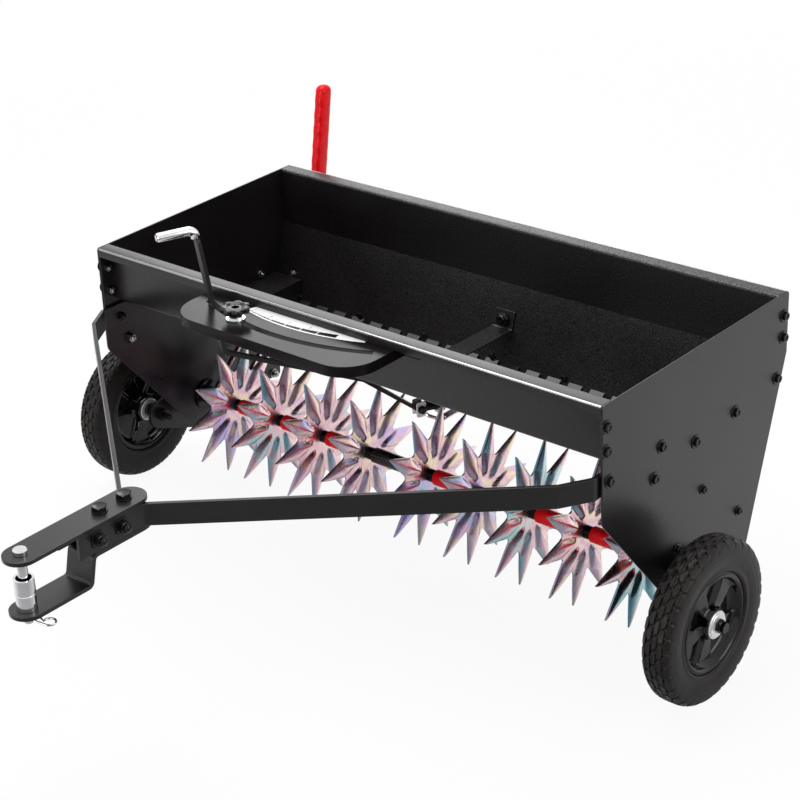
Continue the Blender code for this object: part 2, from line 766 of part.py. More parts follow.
def control_panel():
    """Pressed tray on the front wall with the curved slot of the flow lever."""
    top = RIM - TRAY_DROP
    rear = -PANEL_Y - SHEET / 2 - SEAT
    tray = prism("control_panel", "Z", tray_outline(0.0, rear), top - TRAY_SKIRT, top,
                 black_coat())
    hollow = block("Z", tray_outline(SHEET, rear + 0.01), top - TRAY_SKIRT - 0.01,
                   top - SHEET)
    combine(tray, [hollow], "DIFFERENCE")
    foot = [(TRAY_RIGHT - SHEET, top - TRAY_SKIRT), (TRAY_RIGHT + 0.022, top - TRAY_SKIRT),
            (TRAY_RIGHT + 0.022, top - SHEET * 1.5), (TRAY_RIGHT - SHEET, top - SHEET)]
    tail = [(TRAY_LEFT + SHEET, top - TRAY_SKIRT), (TRAY_LEFT + 0.030, top - TRAY_SKIRT),
            (TRAY_LEFT + 0.030, top - SHEET / 2), (TRAY_LEFT + SHEET / 2, top - SHEET / 2)]
    feet = [block("Y", foot, rear - SHEET, rear), block("Y", tail, rear - SHEET, rear)]
    combine(tray, feet, "UNION")
    slot = block("Z", slot_outline(SLOT_RADIUS, SLOT_WIDTH, SLOT_ANGLE), top - 0.006,
                 top + 0.004)
    combine(tray, [slot], "DIFFERENCE")


def pivot_bracket():
    """Plate under the trough that carries the lever pivot between two stars."""
    bracket = pivot_levels()[0]
    half = 0.015
    front = PIVOT_Y - 0.0125
    rear = trough_rear() - 0.006
    outline = rounded([(PIVOT_X - half, front), (PIVOT_X + half, front),
                       (PIVOT_X + half, rear), (PIVOT_X - half, rear)], 0.004, 3)
    prism("lever_pivot_bracket", "Z", outline, bracket, bracket + BRACKET_SHEET,
          black_coat(), [circle(PIVOT_X, PIVOT_Y, 0.004 + SEAT, 20)])
    low = pivot_levels()[2] - RUN
    high = bracket + BRACKET_SHEET + SEAT
    bolt = [(0, low - 0.005), (0.0068, low - 0.005), (0.0068, low), (0.004, low),
            (0.004, high), (0.0068, high), (0.0068, high + 0.0045), (0, high + 0.0045)]
    lathe("lever_pivot_bolt", bolt, (PIVOT_X, PIVOT_Y, 0), "Z", 12, bright_steel())


def lever_frame(distance, across, z):
    """World point of the lever: distance out from the pivot, across its bar."""
    x, y = lever_point(distance, LEVER_REST)
    turn = math.radians(LEVER_REST)
    return Vector((x + across * math.cos(turn), y + across * math.sin(turn), z))


def under_front(distance):
    """z of the lever's middle where it passes below the front wall's slope."""
    y = lever_point(distance, LEVER_REST)[1]
    return RIM - FRONT_DROP - front_slope() * (y + PANEL_Y) - CONTROL_CLEAR


def lever_profile():
    """(distance from the pivot, z) along the middle of the lever's bar."""
    level = pivot_levels()[2] + CONTROL_BAR / 2
    slot_z = RIM - TRAY_DROP
    knee = RIM - CONTROL_KNEE
    top = RIM + CONTROL_TOP
    return [(0.014, level), (0.034, level), (0.110, under_front(0.110)),
            (0.200, under_front(0.200) - 0.0064),
            (SLOT_RADIUS + CONTROL_LEAN * (knee - slot_z), knee),
            (SLOT_RADIUS + CONTROL_LEAN * (top - slot_z), top)]


def flow_lever():
    """Bar from the pivot, under the front wall, up through the slot to its grip."""
    path = bent(lever_profile(), 0.008, 3)
    bm = prism_mesh("X", ribbon(path, CONTROL_BAR), -CONTROL_WIDTH / 2, CONTROL_WIDTH / 2)
    for vert in bm.verts:
        across, distance, z = vert.co
        vert.co = lever_frame(distance, across, z)
    origin = (PIVOT_X, PIVOT_Y, pivot_levels()[2])
    lever = place("flow_lever", bm, black_coat(), origin)
    low = pivot_levels()[2]
    hub = []
    for k in range(9):
        turn = math.pi * k / 8
        hub.append((0.012 * math.cos(turn), -0.012 * math.sin(turn)))
    for k in range(9):
        turn = math.pi + math.pi * k / 8
        hub.append((0.009 * math.cos(turn), 0.026 - 0.009 * math.sin(turn)))
    outline = [tuple(lever_frame(d, a, 0).xy) for a, d in hub]
    combine(lever, [block("Z", outline, low, low + CONTROL_BAR)], "UNION")
    tools = [pin_tool((PIVOT_X, PIVOT_Y), 0.004 + RUN, low - 0.01, low + 0.02),
             pin_tool(lever_point(LINK_RADIUS, LEVER_REST), LINK_ROD + RUN,
                      low - 0.01, low + 0.02)]
    combine(lever, tools, "DIFFERENCE")
    lever_handle(lever)


def lever_handle(lever):
    """Round handle welded to the top of the bar, pointing away from the pivot."""
    heel, top = lever_profile()[-1]
    turn = 0.010
    path = []
    for k in range(5):
        angle = math.pi / 2 * k / 4
        path.append(lever_frame(heel + turn * (1 - math.cos(angle)), 0,
                                top - 0.006 + turn * math.sin(angle)))
    end = path[-1].z
    path.append(lever_frame(HANDLE_REACH - 0.002, 0, end))
    handle = place("tool", rod_mesh(path, HANDLE_RADIUS, 16), black_coat())
    tip = [(HANDLE_REACH - 0.003, end), (HANDLE_REACH, end)]
    cap = place("tool", rod_mesh([lever_frame(r, 0, z) for r, z in tip],
                                 HANDLE_RADIUS * 0.82, 16), black_coat())
    combine(lever, [handle, cap], "UNION")
    soften(lever)


def control_link():
    """Rod from the lever to the shutter lug, with a turned-up leg at each end."""
    x, y = lever_point(LINK_RADIUS, LEVER_REST)
    level = pivot_levels()[2] - LINK_DROP - 0.001 - SWING - LINK_ROD
    high = pivot_levels()[1] + 0.0004
    lug_top = pivot_levels()[2] - LINK_DROP + 0.004
    end = lug_place()[0]
    way = math.copysign(1.0, end - x)
    path = [(x, y, high), (x, y, level + 0.004), (x + way * 0.0012, y, level + 0.0012),
            (x + way * 0.004, y, level), (end - way * 0.004, y, level),
            (end - way * 0.0012, y, level + 0.0012), (end, y, level + 0.004),
            (end, y, lug_top)]
    rod("control_link", path, LINK_ROD, 10, bright_steel(), (x, y, high))


def stop():
    """Clamp bolt in the slot with its washer, and the lobed knob on it."""
    x, y = lever_point(SLOT_RADIUS, STOP_REST)
    top = RIM - TRAY_DROP
    shank = SLOT_WIDTH / 2 - RUN
    low = top - SHEET - RUN
    profile = [(0, low - 0.004), (0.009, low - 0.004), (0.009, low), (shank, low),
               (shank, top + RUN), (0.012, top + RUN), (0.012, top + 0.0022),
               (0.0085, top + 0.0022), (0.0085, top + KNOB_NECK), (0, top + KNOB_NECK)]
    lathe("stop_bolt", profile, (x, y, 0), "Z", 20, bright_steel())
    start = top + KNOB_NECK + SEAT
    outline = []
    for k in range(56):
        angle = TAU * k / 56
        reach = KNOB_RADIUS * (0.90 + 0.10 * math.cos(7 * angle))
        outline.append((x + reach * math.cos(angle), y + reach * math.sin(angle)))
    knob = prism("stop_knob", "Z", outline, start, start + KNOB_HEIGHT, moulding(),
                 origin=(x, y, start))
    dish = pin_tool((x, y), 0.0055, start + KNOB_HEIGHT - 0.004, start + KNOB_HEIGHT + 0.01)
    combine(knob, [dish], "DIFFERENCE")
    soften(knob, 50)


def star_mesh(x, phase):
    """Disc pressed into points, each with a ridge that starts inside the notches."""
    bm = bmesh.new()
    centre = Vector(reel_centre(x))
    step = TAU / STAR_POINTS
    half = STAR_SHEET / 2

    def point(radius, angle, height, side):
        turn = phase + angle
        offset = Vector((height + side * half, radius * math.sin(turn),
                         radius * math.cos(turn)))
        return bm.verts.new(centre + offset)

    shape = {"bore": (AXLE_RADIUS + RUN, 0.0), "flat": (STAR_FLAT, 0.0)}
    layers = []
    for side in (1, -1):
        ring = []
        for k in range(STAR_POINTS):
            mid = step * k
            edge = mid + step / 2
            ring.append({
                "bore_mid": point(shape["bore"][0], mid, 0, side),
                "bore_edge": point(shape["bore"][0], edge, 0, side),
                "start": point(STAR_FLAT, mid, 0, side),
                "flat_edge": point(STAR_FLAT, edge, 0, side),
                "left": point(STAR_FLAT * 1.28, mid - step * 0.20, 0, side),
                "right": point(STAR_FLAT * 1.28, mid + step * 0.20, 0, side),
                "rise": point(STAR_FLAT * 1.22, mid, STAR_RIDGE * 0.8, side),
                "crest": point(STAR_NOTCH * 1.05, mid, STAR_RIDGE, side),
                "notch": point(STAR_NOTCH, edge, 0, side),
                "tip": point(STAR_RADIUS, mid, STAR_RIDGE * 0.35, side),
            })
        layers.append(ring)
    for ring in layers:
        for k in range(STAR_POINTS):
            here = ring[k]
            last = ring[k - 1]
            for names in (("bore_mid", "bore_edge", "flat_edge", "start"),
                          ("start", "flat_edge", "right"), ("start", "right", "rise"),
                          ("rise", "right", "crest"), ("right", "flat_edge", "notch"),
                          ("right", "notch", "crest"), ("crest", "notch", "tip")):
                bm.faces.new([here[n] for n in names])
            pairs = ((last["bore_edge"], here["bore_mid"], here["start"], last["flat_edge"]),
                     (last["flat_edge"], here["start"], here["left"]),
                     (here["start"], here["rise"], here["left"]),
                     (here["rise"], here["crest"], here["left"]),
                     (last["flat_edge"], here["left"], last["notch"]),
                     (here["left"], here["crest"], last["notch"]),
                     (here["crest"], here["tip"], last["notch"]))
            for verts in pairs:
                bm.faces.new(verts)
    front, back = layers
    for k in range(STAR_POINTS):
        for one, two in ((front[k]["tip"], back[k]["tip"]),):
            before = (front[k - 1]["notch"], back[k - 1]["notch"])
            after = (front[k]["notch"], back[k]["notch"])
            bm.faces.new((before[0], one, two, before[1]))
            bm.faces.new((one, after[0], after[1], two))
        before = (front[k - 1]["bore_edge"], back[k - 1]["bore_edge"])
        middle = (front[k]["bore_mid"], back[k]["bore_mid"])
        after = (front[k]["bore_edge"], back[k]["bore_edge"])
        bm.faces.new((before[0], middle[0], middle[1], before[1]))
        bm.faces.new((middle[0], after[0], after[1], middle[1]))
    return bm


def reel():
    """Nine stars with their hubs and the tubes between them."""
    centre = reel_centre()
    places = star_places()
    bore = AXLE_RADIUS + RUN
    half = STAR_SHEET / 2
    for k, x in enumerate(places):
        star = place(f"star_{k + 1}", star_mesh(x, STAR_PHASE), zinc(),
                     reel_centre(x))
        hub = [(bore, x - half), (HUB_RADIUS, x - half), (HUB_RADIUS, x + HUB_LENGTH),
               (bore, x + HUB_LENGTH)]
        tube = place("tool", lathe_mesh(hub, centre, "X", 20), zinc())
        combine(star, [tube], "UNION")
    for k, (one, two) in enumerate(zip(places, places[1:])):
        finish = black_coat() if k == STARS_PER_SIDE[0] - 1 else red_paint()
        tube_between(f"spacer_{k + 1}", one + HUB_LENGTH + SEAT, two - half - SEAT, finish)
    last = INSIDE - 0.012
    tube_between("end_spacer", places[-1] + HUB_LENGTH + SEAT, last, red_paint())
    sprocket = lathe_sprocket("drive_sprocket", REEL_Y, RIM - REEL_DROP, bore)
    hub = [(bore, CHAIN_X), (HUB_RADIUS, CHAIN_X), (HUB_RADIUS, places[0] - half - SEAT),
           (bore, places[0] - half - SEAT)]
    tube = place("tool", lathe_mesh(hub, centre, "X", 20), zinc())
    combine(sprocket, [tube], "UNION")


def tube_between(name, start, end, finish):
    bore = AXLE_RADIUS + RUN
    profile = [(bore, start), (SPACER_RADIUS, start), (SPACER_RADIUS, end), (bore, end)]
    lathe(name, profile, reel_centre(), "X", 20, finish)


def axle_bearings():
    """Flanged bushes bolted inside the end plates."""
    for side, name in ((-1, "axle_bearing_left"), (1, "axle_bearing_right")):
        start = side * (INSIDE - SEAT)
        flange = side * (INSIDE - SEAT - 0.003)
        end = side * (INSIDE - 0.0105)
        bore = AXLE_RADIUS + RUN
        profile = [(bore, start), (0.022, start), (0.022, flange), (0.0125, flange),
                   (0.0125, end), (bore, end)]
        lathe(name, profile, reel_centre(), "X", 24, moulding())


def transport_gear():
    """Cross axle with a crank at each end, stub axles, lever and grip."""
    face = HALF + CRANK_SET
    reach = face + CRANK_BAR + 0.007
    y, z = REEL_Y, RIM - REEL_DROP
    item = place("star_axle", prism_mesh("X", circle(y, z, AXLE_RADIUS, 20), -reach, reach),
                 bright_steel(), reel_centre())
    soften(item)
    lever_start = HALF + SWING
    crank(-1, "left", face, lever_start + LEVER_BAR + SEAT)
    crank(1, "right", face, HALF + SWING)
    for side, tag in ((-1, "left"), (1, "right")):
        stub(side, tag, face)
    lever_and_grip(lever_start)


def hull(points):
    """Convex outline round a set of points."""
    ordered = sorted(set(points))
    chains = []
    for run in (ordered, ordered[::-1]):
        chain = []
        for point in run:
            while len(chain) > 1 and turn_of(chain[-2], chain[-1], point) <= 0:
                chain.pop()
            chain.append(point)
        chains.append(chain[:-1])
    return chains[0] + chains[1]


def turn_of(one, two, three):
    return ((two[0] - one[0]) * (three[1] - one[1])
            - (two[1] - one[1]) * (three[0] - one[0]))


def crank(side, tag, face, boss_start):
    """Flat plate from the cross axle to the wheel's stub axle, with a boss."""
    points = []
    for y, drop, radius in ((WHEEL_Y, WHEEL_DROP, CRANK_NOSE),
                            (REEL_Y, REEL_DROP, CRANK_MIDDLE), CRANK_HEEL):
        points += circle(y, RIM - drop, radius, 32)
    outline = hull(points)
    bar = prism(f"wheel_crank_{tag}", "X", outline, side * face, side * (face + CRANK_BAR),
                black_coat(), origin=reel_centre(side * face))
    hub = (REEL_Y, RIM - REEL_DROP)
    wheel = (WHEEL_Y, RIM - WHEEL_DROP)
    boss = block("X", circle(*hub, CRANK_BOSS, 24), side * boss_start,
                 side * (face + 0.001))
    combine(bar, [boss], "UNION")
    axle = pin_tool(hub, AXLE_RADIUS + SEAT, side * (boss_start - 0.01),
                    side * (face + 0.04), "X", 20)
    stub_hole = pin_tool(wheel, STUB_RADIUS + SEAT, side * (face - 0.01),
                         side * (face + 0.05), "X", 20)
    combine(bar, [axle, stub_hole], "DIFFERENCE")
    soften(bar)


def stub(side, tag, inner):
    """Stub axle: nut inside the crank, shoulder, journal and outer head."""
    face = inner + CRANK_BAR
    hub_out = WHEEL_IN + WHEEL_WIDTH - HUB_RECESS
    tail = HALF + SWING
    profile = [(0, tail), (0.004, tail), (0.004, inner - 0.0075),
               (0.0085, inner - 0.0075), (0.0085, inner - SEAT), (STUB_RADIUS, inner - SEAT),
               (STUB_RADIUS, face + SEAT), (0.010, face + SEAT),
               (0.010, WHEEL_IN - 0.002 - RUN), (STUB_RADIUS, WHEEL_IN - 0.002 - RUN),
               (STUB_RADIUS, hub_out + RUN), (0.0145, hub_out + RUN),
               (0.0145, hub_out + 0.0025), (0.0065, hub_out + 0.0025),
               (0.0065, hub_out + 0.013), (0, hub_out + 0.013)]
    made = [(r, side * a) for r, a in profile]
    y, z = WHEEL_Y, RIM - WHEEL_DROP
    lathe(f"wheel_axle_{tag}", made, (0, y, z), "X", 20, bright_steel())


def lever_and_grip(start):
    """Transport lever outside the left crank and its red grip."""
    base = Vector((REEL_Y, RIM - REEL_DROP))
    top = Vector((LEVER_TOP[0], RIM + LEVER_TOP[1]))
    path = [tuple(base), (LEVER_LOW[0], RIM + LEVER_LOW[1]),
            (LEVER_KNEE[0], RIM + LEVER_KNEE[1]), tuple(top)]
    strip = ribbon(bent(path, LEVER_BEND, 4), LEVER_WIDTH)
    lever = prism("transport_lever", "X", strip, -start - LEVER_BAR, -start, black_coat(),
                  origin=reel_centre())
    hub = block("X", circle(*base, LEVER_WIDTH * 1.2, 24), -start - LEVER_BAR, -start)
    combine(lever, [hub], "UNION")
    hole = pin_tool(tuple(base), AXLE_RADIUS + SEAT, -start - 0.03, -start + 0.01, "X", 20)
    combine(lever, [hole], "DIFFERENCE")
    along = (top - Vector(path[-2])).normalized()
    centre = -start - LEVER_BAR / 2
    transport_grip(top, along, centre)


def transport_grip(top, along, centre):
    """Moulded grip over the lever's end, with finger waves on its front edge."""
    side = Vector((-along.y, along.x))
    reach = LEVER_WIDTH / 2 + SEAT + GRIP_WALL
    crown = 0.006
    outline = []
    for k in range(31):
        wave = 0.0011 * (1 + math.cos(TAU * 6 * k / 30)) / 2
        outline.append(top + along * (crown - GRIP_LENGTH * (1 - k / 30))
                       + side * (reach + wave))
    for k in range(7):
        turn = math.pi * (k + 1) / 8
        outline.append(top + along * (crown + 0.7 * reach * math.sin(turn))
                       + side * (reach * math.cos(turn)))
    outline.append(top + along * crown - side * reach)
    outline.append(top + along * (crown - GRIP_LENGTH) - side * reach)
    half = LEVER_BAR / 2 + SEAT + GRIP_WALL * 1.5
    grip = prism("transport_grip", "X", [tuple(p) for p in outline], centre - half,
                 centre + half, red_paint(), origin=reel_centre())
    bevel = grip.modifiers.new("edge", "BEVEL")
    bevel.width = GRIP_WALL * 1.2
    bevel.segments = 3
    bevel.limit_method = "ANGLE"
    bevel.angle_limit = math.radians(50)
    width = LEVER_WIDTH / 2 + SEAT
    bore = [top + along * SEAT - side * width, top - along * 0.2 - side * width,
            top - along * 0.2 + side * width, top + along * SEAT + side * width]
    cut = block("X", [tuple(p) for p in bore], centre - LEVER_BAR / 2 - SEAT,
                centre + LEVER_BAR / 2 + SEAT)
    combine(grip, [cut], "DIFFERENCE")
    soften(grip)


def wheels():
    for side, tag in ((-1, "left"), (1, "right")):
        centre = wheel_centre(side)
        half = WHEEL_WIDTH / 2
        outer = WHEEL_RADIUS
        seat = RIM_SEAT
        tyre = [(seat, -half * 0.80), (seat + 0.012, -half * 0.95),
                (seat + 0.022, -half), (outer - 0.010, -half * 0.96),
                (outer - 0.003, -half * 0.80), (outer, -half * 0.45),
                (outer, half * 0.45), (outer - 0.003, half * 0.80),
                (outer - 0.010, half * 0.96), (seat + 0.022, half),
                (seat + 0.012, half * 0.95), (seat, half * 0.80)]
        lathe(f"tyre_{tag}", [(r, side * a) for r, a in tyre], centre, "X", 48, rubber())
        wheel_rim(side, tag, centre)


def wheel_rim(side, tag, centre):
    """Dished rim with a flat web, hub and five raised spokes."""
    half = WHEEL_WIDTH / 2
    edge = RIM_SEAT - SEAT
    web = RIM_WEB / 2
    out = half - HUB_RECESS
    into = half + 0.002
    hub = HUB_OUTER
    bore = STUB_RADIUS + RUN
    profile = [(bore, -into), (hub, -into), (hub, -web), (edge - 0.010, -web),
               (edge - 0.004, -half * 0.78), (edge, -half * 0.78), (edge, half * 0.78),
               (edge - 0.004, half * 0.78), (edge - 0.010, web), (hub, web),
               (hub - 0.002, out), (bore, out)]
    rim = place(f"rim_{tag}", lathe_mesh([(r, side * a) for r, a in profile], centre,
                                         "X", 40), moulding(), centre)
    spokes = []
    for k in range(5):
        turn = TAU * k / 5 + SPOKE_PHASE
        along = Vector((math.cos(turn), math.sin(turn)))
        cross = Vector((-along.y, along.x))
        base = Vector((centre[1], centre[2]))
        narrow, wide = SPOKE_HALVES
        outline = [base + along * (hub - 0.004) - cross * narrow,
                   base + along * (edge - 0.007) - cross * wide,
                   base + along * (edge - 0.007) + cross * wide,
                   base + along * (hub - 0.004) + cross * narrow]
        start = centre[0] - side * (web + SPOKE_RISE)
        end = centre[0] + side * (web + SPOKE_RISE)
        spokes.append(block("X", [tuple(p) for p in outline], start, end))
    combine(rim, spokes, "UNION")
    soften(rim)


def tongue():
    """Two bars on edge from the end plates to the hitch."""
    outer = INSIDE - SEAT - SHEET - SEAT - TONGUE_BAR / 2
    slope = front_slope()
    rear = -0.104
    for side, tag in ((-1, "left"), (1, "right")):
        path = [(outer, rear), (outer, -0.196), TONGUE_BEND,
                (TONGUE_HALF, TONGUE_JOIN), (TONGUE_HALF, TONGUE_NOSE)]
        strip = ribbon(bent(path, 0.010, 4), TONGUE_BAR)
        outline = [(side * x, y) for x, y in strip]
        high = RIM - TONGUE_DROP
        bm = prism_mesh("Z", outline, high - TONGUE_HEIGHT, high)
        bmesh.ops.triangulate(bm, faces=bm.faces)
        run = TONGUE_BEND[1] - TONGUE_JOIN
        for vert in bm.verts:
            part = min(max((TONGUE_BEND[1] - vert.co.y) / run, 0.0), 1.0)
            vert.co.z -= TONGUE_DIP * part
        bar = place(f"tongue_bar_{tag}", bm, black_coat())
        shift = SHEET / 2 + 0.0015
        start = -PANEL_Y - 0.010
        wedge = [(start, RIM - FRONT_DROP - slope * (start + PANEL_Y) - shift * 1.2),
                 (rear + 0.02, RIM - FRONT_DROP - slope * (rear + 0.02 + PANEL_Y)
                  - shift * 1.2),
                 (rear + 0.02, RIM), (start, RIM)]
        cut = block("X", wedge, side * (HALF - 0.04), side * (HALF + 0.01))
        combine(bar, [cut], "DIFFERENCE")


def hitch():
    """Top plate, stepped lower plate, pin with its sleeve and hairpin clip."""
    half = HITCH_WIDTH / 2
    bars = RIM - TONGUE_DROP - TONGUE_DIP
    top = bars + SEAT

    def stadium(front, rear):
        points = []
        for k in range(13):
            turn = math.pi + math.pi * k / 12
            points.append((half * math.cos(turn), front + half + half * math.sin(turn)))
        for k in range(13):
            turn = math.pi * k / 12
            points.append((half * math.cos(turn), rear - half + half * math.sin(turn)))
        return points

    nose = HITCH_PIN_Y - half
    bore = circle(0, HITCH_PIN_Y, PIN_RADIUS + RUN, 20)
    prism("hitch_top_plate", "Z", stadium(nose, HITCH_REAR), top, top + HITCH_SHEET,
          black_coat(), [bore])
    under = bars - TONGUE_HEIGHT - SEAT - HITCH_SHEET / 2
    low = top - HITCH_GAP - HITCH_SHEET / 2
    path = [(HITCH_REAR + 0.002, under), (HITCH_STEP_Y + 0.004, under),
            (HITCH_STEP_Y - 0.004, low), (nose, low)]
    plate = prism("hitch_lower_plate", "X", ribbon(bent(path, 0.006, 3), HITCH_SHEET),
                  -half, half, black_coat())
    keep = block("Z", stadium(nose, HITCH_REAR + 0.002), low - 0.02, top)
    combine(plate, [keep], "INTERSECT")
    combine(plate, [block("Z", bore, low - 0.02, low + 0.02)], "DIFFERENCE")
    high = top + HITCH_SHEET
    floor = low - HITCH_SHEET / 2
    tip = floor - 0.0135
    pin = [(0, tip), (PIN_RADIUS - 0.002, tip), (PIN_RADIUS, tip + 0.002),
           (PIN_RADIUS, high + RUN), (PIN_HEAD, high + RUN), (PIN_HEAD, high + 0.005),
           (PIN_HEAD - 0.001, high + 0.006), (0, high + 0.006)]
    item = lathe("hitch_pin", pin, (0, HITCH_PIN_Y, 0), "Z", 24, bright_steel())
    clip_z = floor - 0.0085
    clip_turn = math.radians(6)
    hole_dir = Vector((math.cos(clip_turn), math.sin(clip_turn), 0))
    centre = Vector((0, HITCH_PIN_Y, clip_z))
    drill = place("tool", rod_mesh([centre - hole_dir * 0.02, centre + hole_dir * 0.02],
                                   0.0013 + RUN, 12), bright_steel())
    combine(item, [drill], "DIFFERENCE")
    soften(item)
    base = low + HITCH_SHEET / 2 + RUN
    sleeve = [(PIN_RADIUS + RUN, base), (SLEEVE_RADIUS, base),
              (SLEEVE_RADIUS, base + SLEEVE_HEIGHT * 0.5 - 0.0006),
              (SLEEVE_RADIUS - 0.0006, base + SLEEVE_HEIGHT * 0.5),
              (SLEEVE_RADIUS, base + SLEEVE_HEIGHT * 0.5 + 0.0006),
              (SLEEVE_RADIUS, base + SLEEVE_HEIGHT),
              (SLEEVE_RADIUS - SLEEVE_WALL, base + SLEEVE_HEIGHT),
              (SLEEVE_RADIUS - SLEEVE_WALL, base + 0.010), (PIN_RADIUS + RUN, base + 0.010)]
    lathe("hitch_sleeve", sleeve, (0, HITCH_PIN_Y, 0), "Z", 28, bright_steel())
    hairpin(centre, hole_dir)


def hairpin(centre, along):
    """Wire clip: straight leg through the pin, loop, and the leg that grips it."""
    cross = Vector((-along.y, along.x, 0))
    wire = 0.0013
    loop = 0.0072
    points = [(-0.016, 0.0), (0.017, 0.0)]
    for k in range(1, 13):
        turn = -math.pi / 2 + TAU * 0.80 * k / 12
        points.append((0.024 + loop * math.cos(turn), loop + loop * math.sin(turn)))
    grip = PIN_RADIUS + wire + RUN
    for k in range(9):
        hump = 0.0018 * (1 - math.cos(TAU * k / 8)) / 2
        points.append((0.0115 - 0.023 * k / 8, grip + hump))
    points += [(-0.0165, grip + 0.0022)]
    path = [centre + along * a + cross * b for a, b in points]
    rod("hairpin_clip", path, wire, 8, bright_steel(), tuple(centre))


def centre_over_floor():
    """Move the whole part along Y so that the origin is under the middle of its box."""
    bpy.context.view_layer.update()
    items = list(bpy.data.objects)
    reach = [(item.matrix_world @ vert.co).y for item in items for vert in item.data.vertices]
    middle = (min(reach) + max(reach)) / 2
    for item in items:
        item.location.y -= middle


def build():
    clear_scene()
    end_plates()
    front_wall()
    rear_panel()
    shutter_rails()
    shutter()
    tie_strap()
    drive_cover()
    agitator()
    drive_chain()
    control_panel()
    pivot_bracket()
    flow_lever()
    control_link()
    stop()
    reel()
    axle_bearings()
    transport_gear()
    wheels()
    tongue()
    hitch()
    centre_over_floor()


build()
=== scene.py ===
"""Dressed scene of the tow-behind drop spreader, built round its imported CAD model.

Metres. +X is the viewer's right when facing the front, -Y is the direction of travel
and +Z is up. Places are taken from the model's joints and boxes. The rest are given
as Y from the hopper's middle and Z from its rim.
"""

import json
import math

import bmesh
import bpy
import numpy as np
from mathutils import Matrix, Vector

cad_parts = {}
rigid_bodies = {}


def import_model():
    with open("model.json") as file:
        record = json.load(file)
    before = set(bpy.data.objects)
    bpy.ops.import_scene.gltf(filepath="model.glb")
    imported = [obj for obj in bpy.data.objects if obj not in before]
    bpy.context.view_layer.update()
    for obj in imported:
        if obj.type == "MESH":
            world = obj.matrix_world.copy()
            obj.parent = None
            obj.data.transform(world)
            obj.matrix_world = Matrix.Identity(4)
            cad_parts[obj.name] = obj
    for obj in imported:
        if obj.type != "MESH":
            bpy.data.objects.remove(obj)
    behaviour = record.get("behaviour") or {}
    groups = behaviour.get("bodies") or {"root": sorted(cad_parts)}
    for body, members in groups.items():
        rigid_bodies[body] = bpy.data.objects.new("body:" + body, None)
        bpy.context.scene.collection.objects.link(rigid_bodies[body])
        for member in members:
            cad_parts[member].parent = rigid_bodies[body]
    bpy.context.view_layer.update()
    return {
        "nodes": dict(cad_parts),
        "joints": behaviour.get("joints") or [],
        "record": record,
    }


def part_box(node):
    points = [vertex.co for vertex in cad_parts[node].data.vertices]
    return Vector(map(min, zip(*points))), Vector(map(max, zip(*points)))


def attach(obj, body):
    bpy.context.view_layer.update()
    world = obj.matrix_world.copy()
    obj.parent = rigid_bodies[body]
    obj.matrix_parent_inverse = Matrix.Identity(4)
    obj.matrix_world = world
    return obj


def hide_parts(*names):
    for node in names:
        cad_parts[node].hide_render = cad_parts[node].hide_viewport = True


TAU = 2 * math.pi

# Camera fitted to the photograph
CAMERA_PLACE = (1.5723124, -1.6646838, 1.4255576)
CAMERA_RIGHT = (0.7071166, 0.7027170, -0.0785808)
CAMERA_UP = (-0.2507538, 0.3531165, 0.9013497)
CAMERA_BACK = (0.6611419, -0.6176549, 0.4259035)
CAMERA_LENS = 94.9003
CAMERA_SHIFT = (0.257017, -0.0377505)

# Sizes that the model's boxes don't give
REEL_FORWARD = -0.015      # star axle from the hopper's middle
END_PLATE = 0.002
STAR_POINTS = 10
STAR_HALF_STEP = TAU / STAR_POINTS / 2
STAR_NOTCH = 0.052         # radius of the web between two teeth
STAR_RADIUS = 0.0964
STAR_ROOT = 0.0535         # radius where a tooth leaves the web
STAR_TOOTH = 0.0128        # half width of a tooth there
STAR_TOOTH_SHARE = 0.72    # part of a tooth's outline that isn't web
STAR_RIDGE = 0.0052        # height of the half cone pressed into a tooth
CONE_START = 0.0255        # radius where it starts
CONE_RISE = 0.0075         # length over which it rises
CONE_TIP = 0.0040          # half width at its start
STAR_SHEET = 0.0024
STAR_PHASE = 0.297
STAR_HUB = 0.0085
STAR_HUB_LENGTH = 0.010
STAR_BORE = 0.0069
RIM_SEAT = 0.0617
RIM_STEPS = 200
SPOKES = 5
SPOKE_TURN = math.radians(45)
SPOKE_SHOULDER = 0.0030
SPOKE_START = 0.0185       # radius where the spokes leave the hub
SPOKE_HALF = 0.0056        # half width of a spoke there
SPOKE_FLARE = 0.0082 / 0.035
STUB_BORE = 0.0064
BLOCKS_AROUND = 34
BLOCK_ROWS = 5
BLOCK_STEPS = 18           # points round the tyre for each block
TREAD_DEPTH = 0.0021
CROWN_STEPS = 44
CROWN_HALF = 0.935         # share of the tyre's half width that the tread takes
CROWN_DROP = 0.0068        # fall of the tread towards its edges
LEVER_DEGREES = -24.0      # photographed place of the flow lever in its slot
SOFT_WIDTH = 0.0005        # rounding of sheet edges


def clear_scene():
    for item in list(bpy.data.objects):
        bpy.data.objects.remove(item, do_unlink=True)


clear_scene()
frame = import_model()
nodes = frame["nodes"]
joint_place = {j["name"]: Vector(j["pos_m"]) for j in frame["joints"] if "pos_m" in j}
REEL = joint_place["reel_spin"]
PIVOT = joint_place["flow_control"]
HOPPER_Y = REEL.y - REEL_FORWARD
RIM_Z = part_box("end_plate_left")[1].z
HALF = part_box("end_plate_right")[1].x
INSIDE = HALF - END_PLATE
DOWN = (0, 0, -1)


def at(x, y, z):
    """A place given from the hopper's middle and its rim."""
    return Vector((x, HOPPER_Y + y, RIM_Z + z))


def box_of(name):
    """Middle and size of a node's box."""
    low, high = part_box(name)
    return (low + high) / 2, high - low


def toward(angle):
    return Vector((math.cos(angle), math.sin(angle)))


